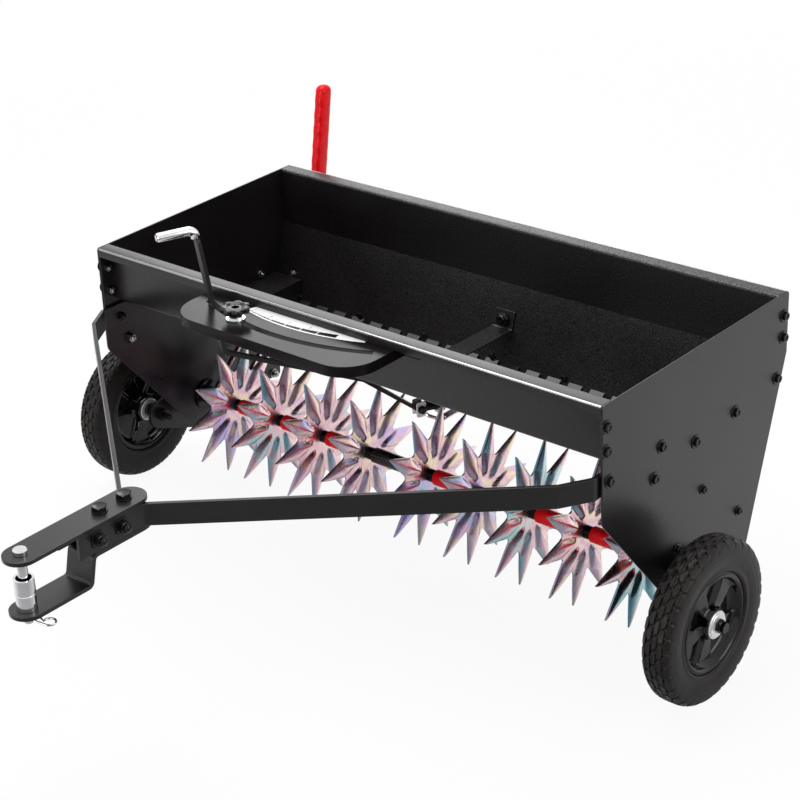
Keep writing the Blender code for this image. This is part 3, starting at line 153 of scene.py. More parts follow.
def configure(thing, **settings):
    for key, value in settings.items():
        setattr(thing, key, value)
    return thing


def add_object(name, data):
    item = bpy.data.objects.new(name, data)
    bpy.context.scene.collection.objects.link(item)
    return item


# Materials

class Graph:
    """Small helper that adds and joins the nodes of a material or a world."""

    def __init__(self, data):
        self.data = data
        data.use_nodes = True
        self.tree = data.node_tree

    def add(self, kind, inputs=None, **settings):
        node = configure(self.tree.nodes.new(kind), **settings)
        for key, value in (inputs or {}).items():
            node.inputs[key].default_value = value
        return node

    def join(self, source, target):
        self.tree.links.new(source, target)

    def fill(self, socket, value):
        """Set a socket to a number, or join another socket to it."""
        if isinstance(value, (int, float)):
            socket.default_value = value
        else:
            self.join(value, socket)

    def coords(self):
        return self.add("ShaderNodeTexCoord").outputs["Object"]

    def noise(self, scale, detail=3.0, rough=0.5, vector=None):
        node = self.add("ShaderNodeTexNoise",
                        {"Scale": scale, "Detail": detail, "Roughness": rough})
        self.join(vector or self.coords(), node.inputs["Vector"])
        return node.outputs["Fac"]

    def ramp(self, source, stops):
        node = self.add("ShaderNodeValToRGB")
        ramp = node.color_ramp.elements
        while len(ramp) < len(stops):
            ramp.new(0.5)
        for element, (place, colour) in zip(ramp, stops):
            element.position = place
            element.color = (*colour, 1.0)
        self.join(source, node.inputs["Fac"])
        return node.outputs["Color"]

    def spread(self, source, low, high, start=0.3, end=0.7):
        node = self.add("ShaderNodeMapRange", {"From Min": start, "From Max": end,
                                               "To Min": low, "To Max": high})
        self.join(source, node.inputs["Value"])
        return node.outputs["Result"]

    def bump(self, source, strength, distance, under=None):
        node = self.add("ShaderNodeBump", {"Strength": strength, "Distance": distance})
        self.join(source, node.inputs["Height"])
        if under is not None:
            self.join(under, node.inputs["Normal"])
        return node.outputs["Normal"]

    def maths(self, operation, one, two):
        node = self.add("ShaderNodeMath", operation=operation)
        self.fill(node.inputs[0], one)
        self.fill(node.inputs[1], two)
        return node.outputs[0]

    def multiply(self, one, two):
        """Product of two colours."""
        node = self.add("ShaderNodeMix", {0: 1.0}, data_type="RGBA", blend_type="MULTIPLY")
        self.join(one, node.inputs[6])
        self.join(two, node.inputs[7])
        return node.outputs[2]

    def shader_mix(self, share, one, two):
        node = self.add("ShaderNodeMixShader")
        for socket, source in zip(node.inputs, (share, one, two)):
            self.join(source, socket)
        return node.outputs[0]

    def rays(self, *names):
        """1 for the kinds of ray named."""
        path = self.add("ShaderNodeLightPath")
        total = path.outputs[names[0]]
        for name in names[1:]:
            total = self.maths("MAXIMUM", total, path.outputs[name])
        return total

    def surface(self, colour, rough, specular=None, metallic=None, normal=None):
        """Fill the sockets of the material's own shader that are given."""
        given = {"Base Color": colour, "Roughness": rough, "Specular IOR Level": specular,
                 "Metallic": metallic, "Normal": normal}
        for name, value in given.items():
            if value is not None:
                self.fill(self.tree.nodes["Principled BSDF"].inputs[name], value)
        return self.data


def new_graph(name):
    return Graph(bpy.data.materials.new(name))


def grey(tone):
    return (tone, tone, tone)


def coat_material(name, dark, light, rough_low, rough_high, shine, grain):
    """Powder coat: fine orange peel, and slight changes of tone, gloss and sparkle."""
    graph = new_graph(name)
    cloud = graph.noise(9.0, 4.0)
    fine = graph.noise(1400.0, 2.0)
    peel = graph.noise(420.0, 2.0, 0.6)
    tone = graph.ramp(cloud, [(0.30, dark), (0.70, light)])
    speck = graph.ramp(fine, [(0.35, grey(0.80)), (0.65, grey(1.2))])
    colour = graph.multiply(tone, speck)
    rough = graph.spread(cloud, rough_low, rough_high)
    sparkle = graph.spread(graph.noise(620.0, 2.0, 0.7), *shine, 0.36, 0.64)
    normal = graph.bump(peel, grain, 0.0003)
    normal = graph.bump(fine, grain * 0.5, 0.0001, normal)
    return graph.surface(colour, rough, specular=sparkle, normal=normal)


def zinc_material():
    """Iridescent yellow zinc: pink, gold, teal and violet film over bright steel, with
    painted light and shade by the way each face is turned.
    """
    graph = new_graph("zinc_stars")
    coords = graph.coords()
    drift = graph.noise(8.5, 1.5, 0.45, coords)
    fine = graph.noise(38.0, 3.0, 0.55, coords)
    normal = graph.add("ShaderNodeNewGeometry").outputs["Normal"]
    turn = graph.add("ShaderNodeVectorTransform", vector_type="NORMAL",
                     convert_from="WORLD", convert_to="OBJECT")
    graph.join(normal, turn.inputs[0])
    facing = graph.add("ShaderNodeSeparateXYZ")
    graph.join(turn.outputs[0], facing.inputs[0])
    tilt = graph.maths("MULTIPLY", facing.outputs["Y"], 0.17)
    lean = graph.maths("MULTIPLY", facing.outputs["Z"], 0.13)
    flecks = graph.maths("MULTIPLY", graph.maths("SUBTRACT", fine, 0.5), 0.34)
    total = drift
    for part in (tilt, lean, flecks):
        total = graph.maths("ADD", total, part)
    film = graph.ramp(total, [
        (0.22, (0.32, 0.60, 0.62)), (0.32, (0.60, 0.74, 0.74)), (0.40, (0.88, 0.54, 0.62)),
        (0.46, (0.94, 0.76, 0.72)), (0.51, (0.80, 0.52, 0.68)), (0.56, (0.95, 0.80, 0.56)),
        (0.62, (0.78, 0.54, 0.72)), (0.68, (0.56, 0.54, 0.86)), (0.76, (0.44, 0.70, 0.70)),
        (0.88, (0.86, 0.42, 0.44))])
    # Painted light and shade: faces turned to the front are darkened, and faces turned back
    # are brightened.
    painted_facing_light = graph.ramp(graph.spread(facing.outputs["Y"], 0.0, 1.0, -0.60, 0.40), [
        (0.0, (0.32, 0.40, 0.50)), (0.30, (0.66, 0.72, 0.80)), (0.56, (1.05, 1.04, 1.04)),
        (1.0, (1.22, 1.14, 1.12))])
    film = graph.multiply(film, painted_facing_light)
    rough = graph.spread(fine, 0.20, 0.34)
    brushed = graph.bump(graph.noise(700.0, 2.0, 0.6, coords), 0.07, 0.0002)
    return graph.surface(film, rough, metallic=1.0, normal=brushed)


def mottled_material(name, low, high, rough_low, rough_high, clouds, grain, **shine):
    """Slow changes of tone and gloss over a fine surface."""
    graph = new_graph(name)
    cloud = graph.noise(*clouds)
    scale, strength = grain
    fine = graph.bump(graph.noise(scale, 2.0), strength, 0.0002)
    return graph.surface(graph.ramp(cloud, [(0.30, low), (0.70, high)]),
                         graph.spread(cloud, rough_low, rough_high), normal=fine, **shine)


def plate_material(*look, metallic=1.0):
    """Bright plating with faint smears and fine scratches."""
    return mottled_material(*look, (60.0, 4.0), (1100.0, 0.06), metallic=metallic)


def moulding_material(*look, specular=0.4):
    """Moulded plastic."""
    return mottled_material(*look, (30.0, 3.0), (700.0, 0.05), specular=specular)


def rubber_material():
    """Tyre rubber: brown-black and finely pitted."""
    graph = new_graph("tyre_tread")
    cloud = graph.noise(26.0, 4.0)
    pits = graph.noise(520.0, 3.0, 0.65)
    colour = graph.ramp(cloud, [(0.30, (0.0060, 0.0046, 0.0042)),
                                (0.72, (0.0130, 0.0100, 0.0088))])
    rough = graph.spread(pits, 0.32, 0.50)
    return graph.surface(colour, rough, specular=0.22,
                         normal=graph.bump(pits, 0.20, 0.0004))


COAT_TONES = (0.0055, 0.0040, 0.0047), (0.0085, 0.0063, 0.0072)
MATERIALS = {
    "coat": coat_material("coat_satin", *COAT_TONES, 0.25, 0.34, (0.42, 0.50), 0.08),
    "coat_tray": coat_material("coat_tray", *COAT_TONES, 0.19, 0.26, (0.13, 0.17), 0.07),
    # Inside of the hopper: the rougher grain is the coat's own, and the darker tones are
    # painted shade.
    "coat_inside_painted_shade": coat_material("coat_inside_painted_shade", (0.0042, 0.0030, 0.0038),
                                (0.0066, 0.0050, 0.0060), 0.33, 0.41, (0.12, 0.95), 0.60),
    "zinc": zinc_material(),
    "chrome": plate_material("bright_plate", (0.72, 0.72, 0.74), (0.86, 0.86, 0.88),
                             0.07, 0.16),
    "bright_fitting": plate_material("bright_fittings", grey(0.72), (0.90, 0.90, 0.89),
                                     0.20, 0.32, metallic=0.45),
    "spring_steel": plate_material("spring_steel", (0.20, 0.20, 0.21),
                                   (0.42, 0.42, 0.43), 0.12, 0.24),
    "black_bolt": moulding_material("black_bolts", grey(0.003), grey(0.006), 0.10, 0.18,
                                    specular=0.32),
    # Bright metal on the black lips' folds: a painted highlight line.
    "fold": plate_material("fold_painted_highlight", (0.340, 0.335, 0.340), (0.420, 0.412, 0.420),
                           0.10, 0.15),
    "red": moulding_material("red_gloss", (0.80, 0.002, 0.006), (0.88, 0.004, 0.010),
                             0.22, 0.34, specular=0.20),
    "black_gloss": moulding_material("black_gloss", (0.003, 0.0027, 0.003),
                                     (0.006, 0.0052, 0.006), 0.08, 0.16, specular=0.34),
    "rubber": rubber_material(),
    "label": moulding_material("label_white", grey(0.86), grey(0.90), 0.30, 0.40),
    "ink": moulding_material("label_ink", (0.015, 0.015, 0.016), (0.030, 0.030, 0.032),
                             0.40, 0.50),
}
# The first finish of a slot is that of nodes which have no finish of their own.
FINISHES_OF_SLOT = {
    "black_coat": ("coat", "coat_tray", "coat_inside_painted_shade", "fold", "label", "ink"),
    "yellow_zinc": ("zinc",),
    "bright_plate": ("chrome", "bright_fitting", "spring_steel", "black_bolt"),
    "red_plastic": ("red",),
    "black_moulding": ("black_gloss",),
    "tyre_rubber": ("rubber",),
}
BODY_OF = {node: body for body, members in frame["record"]["behaviour"]["bodies"].items()
           for node in members}
SLOT_NAME = {part["node"]: part["material_slot"] for part in frame["record"]["subparts"]}


# Mesh helpers

def finish_piece(name, bm, finish, body, replaced=(), smooth=35.0):
    """Turn a mesh into a named piece that rides on a body."""
    bmesh.ops.recalc_face_normals(bm, faces=bm.faces)
    mesh = bpy.data.meshes.new(name)
    bm.to_mesh(mesh)
    bm.free()
    mesh.polygons.foreach_set("use_smooth", [True] * len(mesh.polygons))
    mesh.set_sharp_from_angle(angle=math.radians(smooth))
    mesh.materials.append(MATERIALS[finish])
    item = add_object(name, mesh)
    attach(item, body)
    if replaced:
        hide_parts(*replaced)
    return item


def basis(axis):
    """Columns (across, other, axis) of a right-handed set along an axis."""
    axis = Vector(axis).normalized()
    up = Vector((0, 1, 0) if abs(axis.z) > 0.95 else (0, 0, 1))
    across = up.cross(axis).normalized()
    return Matrix((across, axis.cross(across), axis)).transposed()


def strip(bm, one, two):
    """Quads between two open rows of corners."""
    for corners in zip(one, one[1:], two[1:], two):
        bm.faces.new(corners)


def band(bm, one, two):
    """Quads between two closed loops."""
    strip(bm, one + one[:1], two + two[:1])


def skin(bm, loops):
    """Bands between loops in order, with both ends closed."""
    for one, two in zip(loops, loops[1:]):
        band(bm, one, two)
    bm.faces.new(loops[0])
    bm.faces.new(loops[-1])


def turned(bm, origin, axis, rings, count, turn=0.0):
    """Closed solid of (radius, height) rings, each a number or a function of angle."""
    columns = basis(axis)
    origin = Vector(origin)
    loops = []
    for radius, height in rings:
        loop = []
        for k in range(count):
            around = TAU * k / count
            reach = radius(around) if callable(radius) else radius
            rise = height(around) if callable(height) else height
            place = Vector((reach * math.cos(around + turn),
                            reach * math.sin(around + turn), rise))
            loop.append(bm.verts.new(origin + columns @ place))
        loops.append(loop)
    skin(bm, loops)


def hex_reach(apothem):
    return lambda angle: apothem / math.cos((angle % (TAU / 6)) - TAU / 12)


def hex_head(bm, origin, axis, across, height, turn):
    """Hexagon with its corners turned down, as on a bolt head or nut."""
    apothem = across / 2
    reach = hex_reach(apothem)

    def shoulder(angle):
        return height - (reach(angle) - apothem * 0.94) * 0.65

    turned(bm, origin, axis, [(apothem * 0.9, 0.0), (reach, 0.0), (reach, shoulder),
                              (apothem * 0.93, height), (apothem * 0.88, height * 0.985),
                              (apothem * 0.30, height * 0.96)], 24, turn)


def washer(bm, origin, axis, radius, thickness):
    turned(bm, origin, axis, [(radius * 0.98, 0.0), (radius, thickness * 0.25),
                              (radius, thickness * 0.75), (radius * 0.96, thickness)], 28)


def threaded(bm, origin, axis, radius, length):
    """Bolt end: a few thread crests and a chamfered tip."""
    pitch = radius * 0.32
    count = max(2, int(length / pitch))
    rings = []
    for k in range(count):
        rings += [(radius * 0.88, pitch * k), (radius, pitch * (k + 0.5))]
    rings += [(radius * 0.86, pitch * count), (radius * 0.6, pitch * (count + 0.35))]
    turned(bm, origin, axis, rings, 16)


RING_THICK = 0.0013        # washer under a bolt head or nut


class Hardware:
    """Fasteners that are joined by body and finish."""

    def __init__(self):
        self.meshes = {}

    def mesh(self, body, finish):
        key = (body, finish)
        if key not in self.meshes:
            self.meshes[key] = bmesh.new()
        return self.meshes[key]

    def turned(self, place, axis, rings, count, turn=0.0, finish="black_bolt", body="frame"):
        turned(self.mesh(body, finish), place, axis, rings, count, turn)

    def washer(self, place, axis, radius, thickness, finish="black_bolt", body="frame"):
        washer(self.mesh(body, finish), place, axis, radius, thickness)

    def seat(self, place, axis, ring, finish, body="frame"):
        """Add a washer of that radius, if any, and give the place on top of it."""
        if not ring:
            return Vector(place)
        self.washer(place, axis, ring, RING_THICK, finish, body)
        return Vector(place) + axis * RING_THICK

    def bolt(self, place, axis, across, head, finish="black_bolt", body="frame", ring=0.0,
             turn=0.3):
        """Hex head, on a washer if ring gives it a radius, on the plate at place."""
        axis = Vector(axis).normalized()
        foot = self.seat(place, axis, ring, finish, body)
        hex_head(self.mesh(body, finish), foot, axis, across, head, turn)

    def nut(self, place, axis, across, height, finish, ring=0.0, tip=0.003):
        """The same for a nut on the frame, with the bolt's threaded end."""
        axis = Vector(axis).normalized()
        foot = self.seat(place, axis, ring, finish)
        bm = self.mesh("frame", finish)
        hex_head(bm, foot, axis, across, height, 0.1)
        threaded(bm, foot + axis * height * 0.97, axis, across * 0.30, tip)

    def finish(self):
        for (body, finish), bm in sorted(self.meshes.items()):
            finish_piece(f"fasteners_{finish}_{body}", bm, finish, body, smooth=28.0)


hardware = Hardware()

# Heights where the strap broadens. It stays narrow beside the knob, which passes it.
RISER_LEVELS = (0.402, 0.409, 0.465, 0.470)
RISER_GROWTH = 0.45
LEVEL_PLAY = 1e-5


def broaden_riser(bm):
    """Widen the flow lever's upright strap between the tray and the handle."""
    across = lever_side()
    for level in RISER_LEVELS:
        bmesh.ops.bisect_plane(bm, geom=bm.verts[:] + bm.edges[:] + bm.faces[:],
                               plane_co=(0, 0, level), plane_no=(0, 0, 1))
    for vert in bm.verts:
        if RISER_LEVELS[1] - LEVEL_PLAY <= vert.co.z <= RISER_LEVELS[2] + LEVEL_PLAY:
            off = (vert.co - PIVOT).dot(across)
            vert.co += across * off * RISER_GROWTH


def lever_side():
    """Direction across the flow lever at rest."""
    return toward(math.radians(LEVER_DEGREES)).to_3d()


def softened(node, finish):
    """The node's own shape with its edges rounded, which shows in its highlights."""
    bm = bmesh.new()
    bm.from_mesh(nodes[node].data)
    if node == "flow_lever":
        broaden_riser(bm)
    bmesh.ops.remove_doubles(bm, verts=bm.verts, dist=2e-6)
    bmesh.ops.dissolve_limit(bm, angle_limit=math.radians(0.4), verts=bm.verts,
                             edges=bm.edges)
    item = finish_piece(f"{node}_dressed", bm, finish, BODY_OF[node], (node,), 180.0)
    configure(item.modifiers.new("rounded_edges", "BEVEL"), width=SOFT_WIDTH, segments=2,
              limit_method="ANGLE", angle_limit=math.radians(32), use_clamp_overlap=True)
    configure(item.modifiers.new("even_flats", "WEIGHTED_NORMAL"), mode="FACE_AREA",
              weight=100)


# Star reel

def star_height(along, across):
    """Height of the pressed half cone at a place on one tooth."""
    if along <= CONE_START:
        return 0.0
    rise = min(1.0, (along - CONE_START) / CONE_RISE)
    rise = math.sqrt(max(0.0, 1 - (1 - rise) ** 2))
    if along < STAR_ROOT:
        spread = (along - CONE_START) / (STAR_ROOT - CONE_START)
        width = CONE_TIP + (STAR_TOOTH - CONE_TIP) * spread
        fall = 1.0
    else:
        width = tooth_half(along) + 0.0006
        fall = (tooth_half(along) / STAR_TOOTH) ** 0.75
    share = min(1.0, abs(across) / width)
    return STAR_RIDGE * rise * fall * (1 - share ** 1.9)


def tooth_half(along):
    """Half width of a tooth beyond its root: full near the root, then a long point."""
    share = max(0.0, (STAR_RADIUS - along) / (STAR_RADIUS - STAR_ROOT))
    return STAR_TOOTH * share ** 0.86


def star_edge(t):
    """Outline of one tooth and half of the web on each side, for t from -1 to 1."""
    reach = abs(t)
    if reach < STAR_TOOTH_SHARE:
        along = STAR_ROOT + (STAR_RADIUS - STAR_ROOT) * (1 - reach / STAR_TOOTH_SHARE)
        across = tooth_half(along)
    else:
        share = (reach - STAR_TOOTH_SHARE) / (1 - STAR_TOOTH_SHARE)
        notch = toward(STAR_HALF_STEP)
        low = Vector((STAR_ROOT, STAR_TOOTH)).lerp(notch * STAR_NOTCH, share)
        along, across = low - notch * (0.0009 * math.sin(math.pi * share))
    return Vector((along, math.copysign(across, t)))


def star_tooth_grid(rows, columns):
    """Places of the grid over one tooth, from the bore to the outline."""
    grid = []
    for i in range(rows + 1):
        share = (i / rows) ** 0.85
        line = []
        for j in range(columns + 1):
            t = 2 * j / columns - 1
            inner = toward(t * STAR_HALF_STEP) * STAR_BORE
            line.append(inner.lerp(star_edge(t), share))
        grid.append(line)
    return grid


def star_mesh(x):
    """Pressed star: a sheet of even thickness with a half-cone ridge on each tooth."""
    bm = bmesh.new()
    grid = star_tooth_grid(24, 28)
    sheets = []
    for side in (1, -1):
        teeth = []
        for k in range(STAR_POINTS):
            turn = STAR_PHASE + 2 * STAR_HALF_STEP * k
            sine, cosine = math.sin(turn), math.cos(turn)
            rows = [[bm.verts.new((x + star_height(p.x, p.y) + side * STAR_SHEET / 2,
                                   REEL.y + p.x * sine + p.y * cosine,
                                   REEL.z + p.x * cosine - p.y * sine)) for p in line]
                    for line in grid]
            for low, high in zip(rows, rows[1:]):
                strip(bm, low, high)
            teeth.append(rows)
        sheets.append(teeth)
    for front, back in zip(*sheets):
        for row in (0, -1):
            strip(bm, front[row], back[row])
    bmesh.ops.remove_doubles(bm, verts=bm.verts, dist=1e-6)
    return bm


def stars():
    """Each disc's place is taken from the CAD star's box: its hub reaches one way only."""
    for name in [f"star_{k}" for k in range(1, 10)]:
        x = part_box(name)[1].x - STAR_HUB_LENGTH
        finish_piece(f"{name}_pressed", star_mesh(x), "zinc", "star_reel", (name,), 40.0)
        collar = bmesh.new()
        rings = [(STAR_BORE, -0.0012), (STAR_HUB, -0.0012)]
        for groove in range(4):
            start = 0.0012 + 0.0020 * groove
            rings += [(STAR_HUB, start), (STAR_HUB - 0.0011, start + 0.0004),
                      (STAR_HUB - 0.0011, start + 0.0009), (STAR_HUB, start + 0.0013)]
        rings += [(STAR_HUB, 0.0091), (STAR_HUB - 0.0007, 0.0098), (STAR_BORE, 0.0098)]
        turned(collar, (x, REEL.y, REEL.z), (1, 0, 0), rings, 40)
        finish_piece(f"{name}_collar", collar, "black_bolt", "star_reel")


def spacers():
    """Round tubes between the stars, each with a small chamfer at its ends."""
    chamfer = 0.0008
    for name in [f"spacer_{k}" for k in range(1, 9)] + ["end_spacer"]:
        centre, size = box_of(name)
        reach, length = size.z / 2, size.x
        rings = [(STAR_BORE, 0.0), (reach - chamfer, 0.0), (reach, chamfer),
                 (reach, length - chamfer), (reach - chamfer, length), (STAR_BORE, length)]
        bm = bmesh.new()
        turned(bm, (centre.x - length / 2, REEL.y, REEL.z), (1, 0, 0), rings, 64)
        finish = "black_gloss" if name == "spacer_4" else "red"
        finish_piece(f"{name}_tube", bm, finish, "star_reel", (name,), 40.0)


# Tyres and rims

def block_relief(around, across):
    """0 in a groove and 1 on a block, for rounded blocks in staggered rows."""
    row = (across + 1) / 2 * BLOCK_ROWS
    index = np.floor(row)
    in_row = row - index - 0.5
    along = around * BLOCKS_AROUND + 0.5 * (index % 2)
    in_block = along - np.floor(along) - 0.5
    hexed = np.maximum(np.abs(in_row) * 1.02, np.abs(in_block) * 0.92
                       + np.abs(in_row) * 0.34)
    block = np.clip((0.470 - hexed) / 0.055, 0.0, 1.0)
    scoop = np.clip((0.34 - hexed) / 0.20, 0.0, 1.0)
    return block - 0.22 * scoop


# (rise from the rim's seat, share of the half width) up the tyre's side
SIDE_WALL = [(0.0, 0.80), (0.0016, 0.90), (0.0034, 0.955), (0.0052, 0.93), (0.0072, 0.915),
             (0.0105, 0.955), (0.0150, 0.985), (0.0200, 0.998), (0.0225, 1.0),
             (0.0240, 0.985)]


def tyre_section(half, outer):
    """(radius, across, tread share) round the tyre from one bead to the other."""
    seat = RIM_SEAT + 0.0003
    side = [(seat + rise, share, 0) for rise, share in SIDE_WALL]
    side += [(seat + 0.0262, 0.995, 0.2), (outer - 0.0105, 0.985, 0.6),
             (outer - 0.0082, 0.965, 1.0)]
    crown = []
    for k in range(CROWN_STEPS + 1):
        share = CROWN_HALF * (1 - 2 * k / CROWN_STEPS)
        crown.append((outer - CROWN_DROP * abs(share) ** 4.2, share, 1.0))
    rest = [(r, -a, t) for r, a, t in reversed(side)]
    return [(r, a * half, t) for r, a, t in side + crown + rest]


def tyre(tag):
    centre, size = box_of(f"tyre_{tag}")
    half = size.x / 2
    steps = BLOCKS_AROUND * BLOCK_STEPS
    around = np.arange(steps) / steps
    bm = bmesh.new()
    loops = []
    for radius, across, tread in tyre_section(half, size.z / 2):
        relief = block_relief(around, across / half)
        reach = radius - TREAD_DEPTH * tread * (1 - relief)
        loops.append([bm.verts.new(centre + Vector((across, r * math.sin(a),
                                                    r * math.cos(a))))
                      for r, a in zip(reach, TAU * around)])
    for one, two in zip(loops, loops[1:] + loops[:1]):
        band(bm, one, two)
    finish_piece(f"tyre_{tag}_treaded", bm, "rubber", f"wheel_{tag}", (f"tyre_{tag}",), 50.0)


def rim_levels(hub_end):
    """(radius, pocket level, spoke level) of the rim's face from the bore to the bead."""
    hub = [(STUB_BORE, 0.0006), (0.0120, 0.0006), (0.0170, 0.0002), (0.0181, 0.0012)]
    both = [(0.0562, 0.0158), (0.0578, 0.0165), (0.0592, 0.0160), (0.0598, 0.0150),
            (0.0608, 0.0150), (RIM_SEAT - 0.0002, 0.0144)]
    return ([(radius, hub_end - drop, hub_end - drop) for radius, drop in hub]
            + [(SPOKE_START, 0.0030, 0.0125), (0.0200, 0.0026, 0.0100),
               (0.0230, 0.0025, 0.0092), (0.0280, 0.0025, 0.0090),
               (0.0340, 0.0025, 0.0088), (0.0400, 0.0025, 0.0086),
               (0.0450, 0.0026, 0.0084), (0.0490, 0.0030, 0.0082),
               (0.0515, 0.0052, 0.0084), (0.0535, 0.0098, 0.0104),
               (0.0550, 0.0138, 0.0138)]
            + [(radius, level, level) for radius, level in both])


def spoke_share(angle, radius):
    """1 on a spoke, 0 in a pocket, with a rounded shoulder between."""
    pitch = TAU / SPOKES
    off = (angle - SPOKE_TURN + pitch / 2) % pitch - pitch / 2
    half = SPOKE_HALF + SPOKE_FLARE * (radius - SPOKE_START)
    gap = abs(off) * radius - half
    share = min(1.0, max(0.0, 1 - gap / SPOKE_SHOULDER))
    return share * share * (3 - 2 * share)


def rim(tag, side):
    centre, size = box_of(f"tyre_{tag}")
    half = size.x / 2
    bm = bmesh.new()
    sheets = []
    for face, hub_end in ((side, half - 0.001), (-side, half + 0.002)):
        loops = []
        for radius, pocket, spoke in rim_levels(hub_end):
            loop = []
            for k in range(RIM_STEPS):
                angle = TAU * k / RIM_STEPS
                level = pocket + (spoke - pocket) * spoke_share(angle, radius)
                loop.append(bm.verts.new(centre + Vector((
                    level * face, radius * math.cos(angle), radius * math.sin(angle)))))
            loops.append(loop)
        sheets.append(loops)
    for loops in sheets:
        for one, two in zip(loops, loops[1:]):
            band(bm, one, two)
    for end in (0, -1):
        band(bm, sheets[0][end], sheets[1][end])
    finish_piece(f"rim_{tag}_moulded", bm, "black_gloss", f"wheel_{tag}", (f"rim_{tag}",),
                 45.0)
    wheel_fittings(f"wheel_{tag}", side, centre, half)


def wheel_fittings(body, side, centre, half):
    """Washer, nut and rounded axle end outside the hub, and a washer inside it."""
    out = Vector((side, 0, 0))
    face = centre + out * (half - 0.0016)
    for place, way, radius, thickness in (
            (face, out, 0.0170, 0.0022), (face + out * 0.0016, out, 0.0150, 0.0022),
            (centre - out * (half + 0.0019), -out, 0.0160, 0.0018)):
        hardware.washer(place, way, radius, thickness, "bright_fitting", body)
    hex_head(hardware.mesh(body, "black_bolt"), face + out * 0.0037, out, 0.0150, 0.0055,
             0.2)
    hardware.turned(face + out * 0.0087, out,
                    [(0.0063, 0.0), (0.0063, 0.0024), (0.0052, 0.0034), (0.0020, 0.0037)],
                    28, body=body)


# Fasteners

PLATE_BOLTS = [(-0.182, -0.027), (-0.182, -0.057), (-0.176, -0.096), (-0.075, -0.096),
               (-0.089, -0.131), (-0.006, -0.119), (0.078, -0.115), (0.179, -0.029),
               (0.179, -0.057), (0.168, -0.107)]
SMALL_PLATE_BOLTS = [(0.012, -0.189), (0.091, -0.253), (-0.039, -0.245)]
FLANGE_NUTS = [(-0.1775, -0.0310), (-0.1760, -0.0640)]
BAR_NUTS = [(-0.166, -0.1045, 0.0052, "black_bolt"),
            (-0.1487, -0.1438, 0.0002, "spring_steel")]
COVER_BOLT = (-0.3975, 0.1117, -0.1427)
STOP_NUT = (0.1247, -0.3060)
REAR_SLOPE = 0.3375        # run for each unit of drop
TONGUE_OUTER = 0.0211      # half width over the two bars


def plate_bolts():
    """Bolt heads on dished washers over both end plates."""
    for side in (1, -1):
        for y, z in PLATE_BOLTS:
            socket_bolt(at(side * HALF, y, z), (side, 0, 0), 0.0086, 0.25 + y * 7)
        for y, z in SMALL_PLATE_BOLTS:
            socket_bolt(at(side * HALF, y, z), (side, 0, 0), 0.0066, y * 9)


def socket_bolt(place, axis, reach, turn):
    """Round washer with a rolled edge and a low hex head that has a hollow top."""
    hardware.turned(place, axis, [(reach * 0.97, 0.0), (reach, 0.0005),
                                  (reach * 0.94, 0.0013), (reach * 0.62, 0.0015)], 32)
    apothem = reach * 0.60
    hexed = hex_reach(apothem)
    hardware.turned(place + Vector(axis) * 0.0014, axis,
                    [(hexed, 0.0), (hexed, 0.0025), (apothem * 0.92, 0.0034),
                     (apothem * 0.62, 0.0034), (apothem * 0.50, 0.0022),
                     (apothem * 0.2, 0.0020)], 24, turn)


def inside_nuts():
    """Nuts on the plates' inner sides: flange, tongue bar, drive cover, stop tab."""
    for side in (-1, 1):
        inward = (-side, 0, 0)
        for y, z in FLANGE_NUTS:
            place = at(side * (INSIDE - 0.0018), y, z)
            hardware.nut(place, inward, 0.0085, 0.0045, "spring_steel", tip=0.0028)
            hardware.washer(place, inward, 0.0072, 0.0008)
        for y, z, off, finish in BAR_NUTS:
            hardware.washer(at(side * (INSIDE - off), y, z), inward, 0.0090, 0.0010)
            hardware.nut(at(side * (INSIDE - off - 0.0008), y, z), inward, 0.0105, 0.0062,
                         finish, tip=0.0040)
    hardware.nut(at(*COVER_BOLT), (1, 0, 0), 0.0072, 0.0036, "spring_steel", 0.0056, 0.0018)
    hardware.nut(at(-INSIDE, *STOP_NUT), (1, 0, 0), 0.0095, 0.0050, "spring_steel", 0.0070)


def slope_bolts():
    """Row of small bolt heads that hold the rails, on the inside of the rear slope."""
    normal = Vector((0, -1.0, REAR_SLOPE)).normalized()
    for k in range(7):
        hardware.bolt(at(-0.347 + 0.1156 * k, 0.1350, -0.174), normal, 0.0070, 0.0024,
                      ring=0.0046, turn=k)
    for x, z in ((-0.3655, -0.1465), (-0.3560, -0.1790)):
        y = 0.1672 - REAR_SLOPE * (-z - 0.079)
        hardware.bolt(at(x, y, z), normal, 0.0074, 0.0030, "spring_steel", ring=0.0056)
    strap = Vector((0, -0.947, 0.320))
    hardware.turned(at(0.008, 0.1490, -0.1235) + strap * 0.0034, strap,
                    [(0.0088, 0.0), (0.0090, 0.0006), (0.0084, 0.0014), (0.0062, 0.0018),
                     (0.0058, 0.0040), (0.0042, 0.0050), (0.0012, 0.0052)], 32)


def hitch_bolts():
    """Bolts through the hitch plates, and those that clamp the two tongue bars."""
    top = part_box("hitch_top_plate")[1].z
    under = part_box("tongue_bar_right")[0].z + 0.0045
    through = [HOPPER_Y + y for y in (-0.567, -0.530)]
    for y in through:
        hardware.bolt((0.0, y, top), (0, 0, 1), 0.0165, 0.0062, ring=0.0094, turn=0.2)
    for y in (-0.592, -0.556):
        for way in (1, -1):
            axis = Vector((way, 0, 0))
            place = at(way * TONGUE_OUTER, y, -0.108)
            square_washer(place, axis, 0.0088, 0.0016)
            place += axis * 0.0016
            if way == 1:
                hardware.nut(place, axis, 0.0135, 0.0070, "black_bolt", tip=0.0055)
            else:
                hardware.bolt(place, axis, 0.0130, 0.0052)
    for y in through:
        hardware.nut((0.0, y, under), DOWN, 0.0110, 0.0030, "black_bolt", tip=0.0010)


